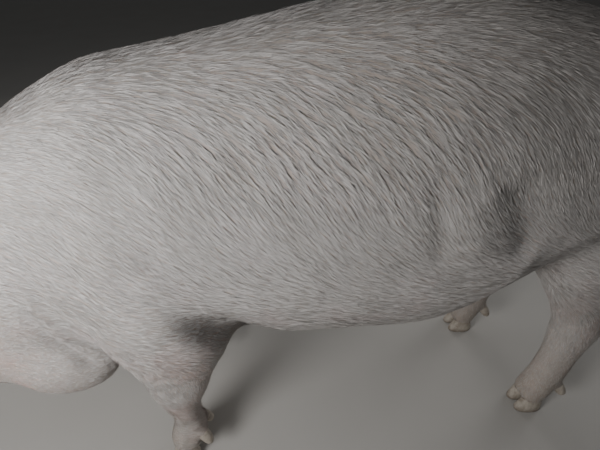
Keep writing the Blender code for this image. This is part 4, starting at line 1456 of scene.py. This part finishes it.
# The chosen tufts as one piece. Each is a band that narrows to its tip.
def tuftPiece(name, hair, chosen, places):
    root, middle, tip = hair["root"][chosen], hair["middle"][chosen], hair["tip"][chosen]
    side = hair["across"][chosen] * (hair["width"][chosen] / 2)[:, None]
    rows = np.stack([root - side * 0.8, root + side * 0.8, middle - side, middle + side, tip], 1)
    faces = np.array([(0, 1, 3), (0, 3, 2), (2, 3, 4)])
    patch = [(-0.5, -0.5), (0.5, -0.5), (-0.5, 0.0), (0.5, 0.0), (0.0, 0.5)]
    tipward = [0.0, 0.0, 0.5, 0.5, 1.0]
    return joinedPiece(name, rows, faces, hair["shade"][chosen], tipward, patch, [p[chosen] for p in places])


def coatPieces():
    hair = growCoat()
    places = unwrap(hair["root"], hair["normal"], hair["share"])
    chart, along = places[:2]
    groups = {
        "coatHead": chart == 1,
        "coatForelegs": (chart == 2) | (chart == 4),
        "coatHindlegs": (chart == 3) | (chart == 5),
        "coatEarsTail": chart >= 6,
        "coatTrunk": chart == 0,
    }
    made = []
    for name, mask in groups.items():
        chosen = np.flatnonzero(mask)
        chosen = chosen[np.argsort(along[chosen], kind="stable")]
        parts = math.ceil(len(chosen) / coat["most"])
        for i, piece in enumerate(np.array_split(chosen, parts)):
            label = name if parts == 1 else f"{name}{i + 1}"
            made.append(tuftPiece(label, hair, piece, places))
    return made


# Long single bristles: lashes, brow, muzzle and chin, rims and cups of the ears, end of the tail.
whisker = {
    "seed": 5,
    "rings": 6,
    "radius": 0.00019,
    # kind: how many on each side, shortest and longest in metres
    "lash": (60, 0.011, 0.018),
    "brow": (16, 0.016, 0.027),
    "muzzle": (150, 0.007, 0.014),
    "chin": (80, 0.007, 0.022),
    "earRim": (420, 0.007, 0.014),
    "earCup": (160, 0.010, 0.017),
    "tailEnd": (75, 0.030, 0.050),
}


# Rows of root, way at the root, bend, length and normal for every whisker.
def whiskerRows():
    rng = np.random.default_rng(whisker["seed"])
    rows = []

    def add(root, way, bend, kind, normal):
        low, high = whisker[kind][1:]
        rows.append([*root, *unit(np.array([way]))[0], *bend, rng.uniform(low, high), *normal])

    def pickFrom(mask, kind):
        found = np.flatnonzero(mask)
        return rng.choice(found, min(len(found), whisker[kind][0]), replace=False)

    local = toHead(hide.points)
    x, y, z = local.T
    headOn = hide.share["head"] > 0.5
    for side, (centre, axes) in eyeFrames.items():
        for a in np.radians(rng.uniform(18, 150, whisker["lash"][0])):
            reach = rng.uniform(1.0, 1.22)
            root = lidPoint(side, math.cos(a) * reach, math.sin(a) * reach, 0.0008)
            way = axes @ Vector((0.5 * math.cos(a) - 0.25, 0.85, 0.30 + rng.normal(0, 0.10)))
            add(root, way, axes @ Vector((-0.25, 0.0, -0.75)), "lash", axes.col[1])
        for _ in range(whisker["brow"][0]):
            flat = Vector((rng.uniform(-0.030, 0.020), 0.07, rng.uniform(0.018, 0.032)))
            root = hit(centre + axes @ flat, axes @ Vector((0, -1, 0)), hide.tree)
            if root is not None:
                way = axes @ Vector((-0.6, 0.6, 0.2))
                add(root, way, axes @ Vector((-0.5, 0.0, -0.4)), "brow", axes.col[1])
        mine = y * side > 0
        low = headOn & mine
        spots = {
            "muzzle": low & (x > 0.012) & (x < 0.12) & (z > -0.040) & (z < 0.010) & (np.abs(y) > 0.03),
            "chin": low & (x > 0.020) & (x < 0.20) & (z < -0.036),
        }
        for kind, mask in spots.items():
            for i in pickFrom(mask, kind):
                way = hideWay[i] + 0.6 * hide.normals[i] + rng.normal(0, 0.28, 3)
                add(hide.points[i], way, (0.1, 0, -0.4), kind, hide.normals[i])
        along, across, off = onEar(hide.points, side)
        axes = np.array(earFrame(side)[1])
        onIt = (hide.share["ear"] > 0.5) & mine
        for i in pickFrom(onIt & (np.abs(across) > 0.93), "earRim"):
            out = axes @ np.array([math.copysign(0.6, across[i]) * side, 0.5, 0.8])
            add(hide.points[i], out, 0.3 * axes[:, 2], "earRim", hide.normals[i])
        for i in pickFrom(onIt & (off < 0) & (along < 0.55) & (np.abs(across) < 0.9), "earCup"):
            add(hide.points[i], 0.7 * hide.normals[i] + axes[:, 2], 0.3 * axes[:, 2], "earCup", hide.normals[i])
    path = tailPath()
    radii = tailRadii(len(path))
    for _ in range(2 * whisker["tailEnd"][0]):
        i = int(rng.integers(len(path) - 5, len(path)))
        along = np.array(path[i] - path[i - 1])
        out = unit(np.cross(along, rng.normal(0, 1, 3))[None])[0]
        way = unit(along[None])[0] + 0.30 * out
        add(np.array(path[i]) + out * radii[i] * 0.5, way, (0.05, 0, -0.5), "tailEnd", out)
    return np.array(rows, float)


def whiskerPiece():
    rows = whiskerRows()
    root, way, bend, long, normal = rows[:, :3], rows[:, 3:6], rows[:, 6:9], rows[:, 9], rows[:, 10:]
    t = np.linspace(0, 1, whisker["rings"])[None, :, None]
    path = root[:, None] - normal[:, None] * 0.0008
    path = path + long[:, None, None] * (way[:, None] * t + 0.5 * bend[:, None] * t * t)
    across = unit(np.cross(way, way[:, [1, 2, 0]]))
    other = np.cross(way, across)
    thick = whisker["radius"] * (1 - 0.85 * t) * np.clip(long / 0.016, 0.75, 1.3)[:, None, None]
    turns = np.radians([0, 120, 240])
    points = [path + thick * (across[:, None] * math.cos(a) + other[:, None] * math.sin(a)) for a in turns]
    points = np.stack(points, 2).reshape(len(rows), -1, 3)
    faces = [(0, 2, 1)]
    for i in range(whisker["rings"] - 1):
        for j in range(3):
            a, b = 3 * i + j, 3 * i + (j + 1) % 3
            faces += [(a, b, b + 3), (a, b + 3, a + 3)]
    last = 3 * whisker["rings"] - 3
    faces.append((last, last + 1, last + 2))
    tipward = np.repeat(t.ravel(), 3)
    spread = np.tile([(math.cos(a), math.sin(a)) for a in turns], (whisker["rings"], 1))
    places = unwrap(root, normal, partShares(root))
    shade = np.full(len(rows), 0.05)
    patch = spread * (0.5 - 0.4 * tipward)[:, None]
    return joinedPiece("whiskers", points, np.array(faces), shade, tipward, patch, places)


coatMade = coatPieces() + [whiskerPiece()]
report("coat: " + ", ".join(f"{o.name} {len(o.data.polygons)}" for o in coatMade))


# Eyes: a ball with a bulging cornea, coloured by the distance from the middle of its gaze.
def makeEye(side, name, nodeName):
    centre, axes = eyeFrames[side]
    bm = bmesh.new()
    bmesh.ops.create_uvsphere(bm, u_segments=40, v_segments=28, radius=eye["radius"])
    gaze = bm.verts.layers.float.new("gaze")
    for v in bm.verts:
        reach = math.hypot(v.co.x, v.co.y)
        v[gaze] = reach / eye["radius"] if v.co.z > 0 else 1.5
        if v.co.z > 0 and reach < eye["iris"]:
            v.co.z += eye["corneaRise"] * (1 - (reach / eye["iris"]) ** 2)
    turn = Matrix((axes.col[0], -axes.col[2] * side, axes.col[1])).transposed()
    if turn.determinant() < 0:
        turn.col[0] *= -1
    bmesh.ops.transform(bm, matrix=Matrix.Translation(centre) @ turn.to_4x4(), verts=bm.verts)
    made = finished(bm, name)
    shadeSmooth(made)
    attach(made, "root")
    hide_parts(nodeName)
    return made


eyes = [makeEye(-1, "eyeballLeft", "eye_left"), makeEye(1, "eyeballRight", "eye_right")]


def clawInto(bm, toe, splay, rng):
    turn = Matrix.Rotation(math.radians(splay), 3, "Z")
    heights = np.concatenate([[0.0, 0.0012], np.linspace(0.004, 0.050, 24)])
    rings = []
    for z, (ahead, behind, half) in zip(heights, readBetween(claw["keys"], heights)):
        groove = 1 - 0.008 * max(0.0, math.sin(z * 1600 + rng.uniform(-0.5, 0.5))) * (z > 0.004)
        centre = (toe[0] + claw["ahead"], toe[1], z)
        reach = half * groove, ahead * groove, behind * groove
        rings.append((centre, turn @ Vector((0, 1, 0)), turn @ Vector((-1, 0, 0)), *reach))
    loftInto(bm, rings, 32, 2.3)


def smallClawInto(bm, place, side):
    way = onSideOf(claw["smallWay"], side).normalized()
    shares = np.linspace(0, 1, 14)
    radii = np.interp(shares, [0, 0.3, 0.6, 0.85, 1], claw["smallRadii"]) * (1 + 0.02 * np.sin(shares * 40))
    tubeInto(bm, [Vector(place) + way * claw["smallLength"] * t for t in shares], list(radii), 20)


def makeClaws():
    rng = np.random.default_rng(4)
    made = []
    for name, foot in feet().items():
        leg, word = name[:4], name[4:].lower()
        bm = bmesh.new()
        for side in (-1, 1):
            clawInto(bm, (foot.x, foot.y + side * claw["apart"]), claw["splay"] * side, rng)
            across, up = claw["smallPlace"]
            smallClawInto(bm, (foot.x + claw["smallHeel"][leg], foot.y + side * across, up), side)
        piece = shells(bm, "claws" + name[0].upper() + name[1:])
        shadeSmooth(piece)
        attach(piece, "root")
        kinds = ("claw", "dewclaw")
        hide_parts(*[f"{kind}_{leg}_{word}_{which}" for kind in kinds for which in ("inner", "outer")])
        made.append(piece)
    return made


claws = makeClaws()
report("eyes and claws")


# sRGB hex to linear colour.
def paint(code):
    parts = [int(code[i : i + 2], 16) / 255 for i in (1, 3, 5)]
    return tuple(c / 12.92 if c <= 0.04045 else ((c + 0.055) / 1.055) ** 2.4 for c in parts) + (1.0,)


# Gives the inputs of a node, in order or by name: a socket to link, a colour in hex, or a fixed value.
def fill(tree, made, inputs):
    for key, value in inputs.items() if isinstance(inputs, dict) else enumerate(inputs):
        if isinstance(value, bpy.types.NodeSocket):
            tree.links.new(value, made.inputs[key])
        else:
            made.inputs[key].default_value = paint(value) if isinstance(value, str) else value


# Adds a node with its settings and inputs, and gives one of its outputs.
def node(tree, kind, inputs, out=0, **settings):
    made = tree.nodes.new("ShaderNode" + kind)
    for key, value in settings.items():
        setattr(made, key, value)
    fill(tree, made, inputs)
    return made.outputs[out]


# A material, with what adds nodes to it and what fills its shader.
def newMaterial(name):
    made = bpy.data.materials.new(name)
    made.use_nodes = True
    tree = made.node_tree
    return made, partial(node, tree), partial(fill, tree, tree.nodes["Principled BSDF"])


# Fields multiplied together. Each is a socket, a number, or (socket, low, high),
# which is spread from 0 to 1 or between two more values.
def product(add, *fields):
    total = None
    for field in fields:
        part = add("MapRange", field) if isinstance(field, tuple) else field
        total = part if total is None else add("Math", [total, part], operation="MULTIPLY")
    return total


# Two colours mixed by a field, then layers over them: each a colour and the fields of its share.
def layered(add, first, second, *layers):
    base = first
    for colour, *fields in ((second, layers[0]), *layers[1:]):
        base = add("Mix", {0: product(add, *fields), 6: base, 7: colour}, 2, data_type="RGBA")
    return base


# The markings of hide and coat alike: grime on the lower legs, where pink skin shows,
# broad stains, dust with painted shade over the back, and painted shade under the belly.
def markings(add, place):
    along, height = (add("SeparateXYZ", [place], axis) for axis in "XZ")
    # soft stains about 110 mm and 40 mm across
    broad = add("TexNoise", {"Vector": place, "Scale": 9.0, "Detail": 4.0, "Roughness": 0.6})
    stain = add("TexNoise", {"Vector": place, "Scale": 26.0, "Detail": 5.0, "Roughness": 0.65})
    edge = add("Math", [height, product(add, (stain, 0.3, 0.7, -0.07, 0.07))], operation="ADD")
    grime = product(add, (edge, 0.03, 0.26, 1.0, 0.0), (stain, 0.35, 0.65, 0.45, 1.0))
    # dust rubbed into the back and the rump, darkened further there as painted shade, and painted shade under
    # the belly and low on the flank
    above = product(add, (along, -0.28, 0.40), (height, 0.55, 0.95, 0.45, 1.0), (broad, 0.3, 0.7, 0.7, 1.0))
    under = product(add, (height, 0.38, 0.68, 0.6, 0.0), (along, -0.35, 0.05), (stain, 0.3, 0.7, 0.6, 1.0))
    dustAndShade = add("Math", [above, under], operation="MAXIMUM")
    pink = product(add, (broad, 0.48, 0.68), (height, 0.34, 0.62, 1.0, 0.25))
    return grime, pink, broad, dustAndShade


# Bristled pig skin: pale, slightly translucent, with fine creases and pores.
def skinMaterial():
    made, add, shade = newMaterial("bristledPigSkin")
    place = add("TexCoord", [], "Object")
    grime, pink, broad, dustAndShade = markings(add, place)
    fields = ("bare", "rosy", "onHead", "foldShade")
    bare, rosy, onHead, foldShade = (add("Attribute", [], "Fac", attribute_name=name) for name in fields)
    # mottled blood colour about 4 mm across on the bare skin
    fleck = add("TexNoise", {"Vector": place, "Scale": 240.0, "Detail": 3.0, "Roughness": 0.6})
    mottled = add("Math", [bare, 0.3, 0.08], operation="MULTIPLY_ADD")
    base = layered(
        add,
        "#beb2aa",
        "#ccc1b9",
        (broad, 0.35, 0.65),
        ("#cfaea2", pink, 0.5),
        ("#d0aa9f", rosy),
        ("#c29a8e", bare),
        ("#a4746a", (fleck, 0.5, 0.75), mottled),
        ("#7d6a55", grime, 0.65),
        # dust with painted shade over the back and the rump, painted shade under the belly
        ("#8d8379", dustAndShade, 0.7),
        # painted shade in the deep folds
        ("#74625a", foldShade, 0.6),
    )
    # crossing creases about 3 mm apart, and pores about 1 mm
    crease = add("TexVoronoi", {"Vector": place, "Scale": 330.0}, "Distance", feature="DISTANCE_TO_EDGE")
    pore = add("TexNoise", {"Vector": place, "Scale": 900.0, "Detail": 2.0})
    relief = add("Math", [pore, 0.5, product(add, (crease, 0.0, 0.12, 0.0, 0.35))], operation="MULTIPLY_ADD")
    relief = product(add, relief, add("Math", [bare, 1.6, 1.0], operation="MULTIPLY_ADD"))
    # short flat fur as relief, back along the head and down the legs: strands about 1 mm wide, 8 mm long
    strands = []
    nod = (0, math.radians(body["headPitch"]), 0)
    for turn, scale in ((nod, (120, 950, 950)), ((0, 0, 0), (950, 950, 110))):
        spread = add("Mapping", {"Vector": place, "Rotation": turn, "Scale": scale})
        strands.append(add("TexNoise", {"Vector": spread, "Scale": 1.0, "Detail": 2.0}))
    strand = add("Mix", {0: onHead, 2: strands[1], 3: strands[0]})
    fur = product(add, strand, add("Math", [1.0, bare], operation="SUBTRACT"))
    relief = add("Math", [fur, 2.2, relief], operation="MULTIPLY_ADD")
    shade(
        {
            "Base Color": base,
            "Roughness": add("Math", [bare, -0.24, 0.62], operation="MULTIPLY_ADD"),
            "IOR": 1.42,
            "Subsurface Weight": 0.12,
            "Subsurface Radius": (0.009, 0.004, 0.002),
            "Subsurface Scale": 1.0,
            "Normal": add("Bump", {"Strength": 0.55, "Distance": 0.0006, "Height": relief}),
        }
    )
    return made


# White bristle: dull keratin, stained like the hide, with painted shade darker towards its root.
def coatMaterial():
    made, add, shade = newMaterial("whiteBristle")
    grime, pink, broad, dustAndShade = markings(add, add("TexCoord", [], "Object"))
    tone, tipward = (add("Attribute", [], "Fac", attribute_name=name) for name in ("shade", "tipward"))
    # pink skin showing, grime, then dust with painted shade over the back and painted shade under the belly
    layers = ("#d3bbb4", pink, 0.55), ("#9c8c77", grime, 0.6), ("#938d87", dustAndShade, 0.75)
    base = layered(add, "#cfcac6", "#dbd8d6", (broad, 0.35, 0.65), *layers)
    # each tuft's own tone with painted shade in partings and folds, and painted shade darker towards the root
    light = add("Math", [tone, 1.6, product(add, (tipward, 0.0, 0.8, 0.80, 1.0))], operation="MULTIPLY_ADD")
    grey = add("CombineXYZ", [light, light, light])
    lit = add("Mix", {0: 1.0, 6: base, 7: grey}, 2, data_type="RGBA", blend_type="MULTIPLY")
    shade({"Base Color": lit, "Roughness": 0.58, "IOR": 1.5, "Specular IOR Level": 0.35})
    return made


# Claw horn: layered keratin with growth rings, worn and dusty.
def hornMaterial():
    made, add, shade = newMaterial("wornHorn")
    place = add("TexCoord", [], "Object")
    height = add("SeparateXYZ", [place], "Z")
    # fibres about 5 mm apart, and smears about 17 mm across
    grain = add("Mapping", {"Vector": place, "Scale": (190.0, 190.0, 30.0)})
    fibre = add("TexNoise", {"Vector": grain, "Scale": 1.0, "Detail": 4.0})
    smear = add("TexNoise", {"Vector": place, "Scale": 60.0, "Detail": 4.0, "Roughness": 0.65})
    layers = ("#776b5d", (smear, 0.45, 0.65, 0.0, 0.6)), ("#574a3d", (height, 0.0, 0.014, 0.7, 0.0))
    base = layered(add, "#a0978b", "#b3aa9e", (fibre, 0.3, 0.75), *layers)
    # growth rings about 4 mm apart
    rings = {"Vector": place, "Scale": 70.0, "Distortion": 9.0, "Detail": 2.0, "Detail Scale": 0.35}
    ring = add("TexWave", rings, "Fac", bands_direction="Z")
    relief = add("Math", [fibre, 0.4, ring], operation="MULTIPLY_ADD")
    bump = add("Bump", {"Strength": 0.25, "Distance": 0.0005, "Height": relief})
    shade({"Base Color": base, "Roughness": 0.55, "Normal": bump})
    return made


# Wet eye: brown iris, round pupil, bloodshot white, under one clear gloss.
def eyeMaterial():
    made, add, shade = newMaterial("wetEye")
    gaze = add("Attribute", [], "Fac", attribute_name="gaze")
    streak = add("TexNoise", {"Vector": add("TexCoord", [], "Object"), "Scale": 900.0, "Detail": 2.0})
    iris = layered(add, "#24150d", "#452c1a", (streak, 0.35, 0.65))
    pupil, edge = eye["pupil"] / eye["radius"], eye["iris"] / eye["radius"]
    layers = ("#1d120b", (gaze, edge - 0.12, edge - 0.02)), ("#a58f82", (gaze, edge, edge + 0.06))
    base = layered(add, "#060404", iris, (gaze, pupil, pupil + 0.04), *layers)
    shade({"Base Color": base, "Roughness": 0.06, "IOR": 1.38, "Coat Weight": 1.0, "Coat Roughness": 0.02})
    return made


def pointField(piece, name, values):
    piece.data.attributes.new(name, "FLOAT", "POINT").data.foreach_set("value", np.asarray(values, np.float32))


def dressSkin():
    share = hide.share
    plain = hide.points - shiftRow
    local = toHead(hide.points)
    rosy = np.maximum(0.55 * share["sack"], 0.45 * share["head"] * (1 - ramp(local[:, 0], 0.02, 0.16)))
    for side in (-1, 1):
        inside = onEar(hide.points, side)[2] < 0
        rosy = np.maximum(rosy, share["ear"] * (plain[:, 1] * side > 0) * inside * 0.8)
    pointField(boarSkin, "bare", bareShare(hide.points) * (plain[:, 2] > 0.12))
    pointField(boarSkin, "rosy", rosy)
    pointField(boarSkin, "onHead", share["head"])
    # painted shade in the deep folds
    pointField(boarSkin, "foldShade", hide.foldShade)
    shadeSmooth(boarSkin)
    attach(boarSkin, "root")
    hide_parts(*skin["flesh"], "tail", "scrotum", "snout", "ear_left", "ear_right")


dressSkin()
bpy.data.objects.remove(form)
looks = {skinMaterial: [boarSkin], coatMaterial: coatMade, hornMaterial: claws, eyeMaterial: eyes}
for makeLook, members in looks.items():
    look = makeLook()
    for piece in members:
        piece.data.materials.clear()
        piece.data.materials.append(look)
for piece in coatMade:
    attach(piece, "root")


# Floor: a matt pale sheet, not part of the boar.
def makeFloor():
    bm = bmesh.new()
    bmesh.ops.create_grid(bm, x_segments=1, y_segments=1, size=12)
    made = finished(bm, "floor")
    look, add, shade = newMaterial("paleFloor")
    # cloudy tones about 300 mm across
    mist = add("TexNoise", {"Vector": add("TexCoord", [], "Object"), "Scale": 3.0, "Detail": 3.0})
    shade({"Base Color": layered(add, "#aba8a3", "#b4b1ac", mist), "Roughness": 0.85})
    made.data.materials.append(look)


# The camera stands where the photograph was taken from; angles in degrees.
view = {"place": (-0.0491, -0.7777, 1.054), "yaw": 8.5, "pitch": -34, "lens": 27, "sensor": 36}


def makeCamera():
    data = bpy.data.cameras.new("camera")
    data.lens, data.sensor_width = view["lens"], view["sensor"]
    data.clip_start, data.clip_end = 0.02, 60
    made = bpy.data.objects.new("camera", data)
    made.location = view["place"]
    made.rotation_euler = (math.radians(90 + view["pitch"]), 0, math.radians(-view["yaw"]))
    bpy.context.scene.collection.objects.link(made)
    bpy.context.scene.camera = made


# Soft round lamps: place, what they point at, width and watts. The world fills the shadows.
lights = {
    "key": ((-0.92, -0.95, 0.96), (-0.2, -0.1, 0.62), 0.6, 17.5),
    "top": ((-0.6, 0.9, 2.6), (0.0, 0.0, 0.5), 2.0, 6),
    "fill": ((2.4, -1.4, 1.4), (0.1, 0.0, 0.5), 2.0, 2),
    "behind": ((2.6, 1.0, 0.9), (0.5, 0.0, 0.5), 1.2, 13),
    "far": ((0.2, 2.5, 1.0), (0.1, 0.0, 0.5), 1.6, 15),
}
worldLight = {"Color": "#dcdee0", "Strength": 0.075}


def makeLights():
    for name, (place, target, size, watts) in lights.items():
        data = bpy.data.lights.new(name, "AREA")
        data.shape, data.size, data.energy = "DISK", size, watts
        made = bpy.data.objects.new(name, data)
        made.location = place
        made.rotation_euler = (Vector(target) - Vector(place)).to_track_quat("-Z", "Y").to_euler()
        bpy.context.scene.collection.objects.link(made)
    world = bpy.data.worlds.new("studio")
    world.use_nodes = True
    fill(world.node_tree, world.node_tree.nodes["Background"], worldLight)
    bpy.context.scene.world = world


makeFloor()
makeCamera()
makeLights()

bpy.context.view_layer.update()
report("ready")
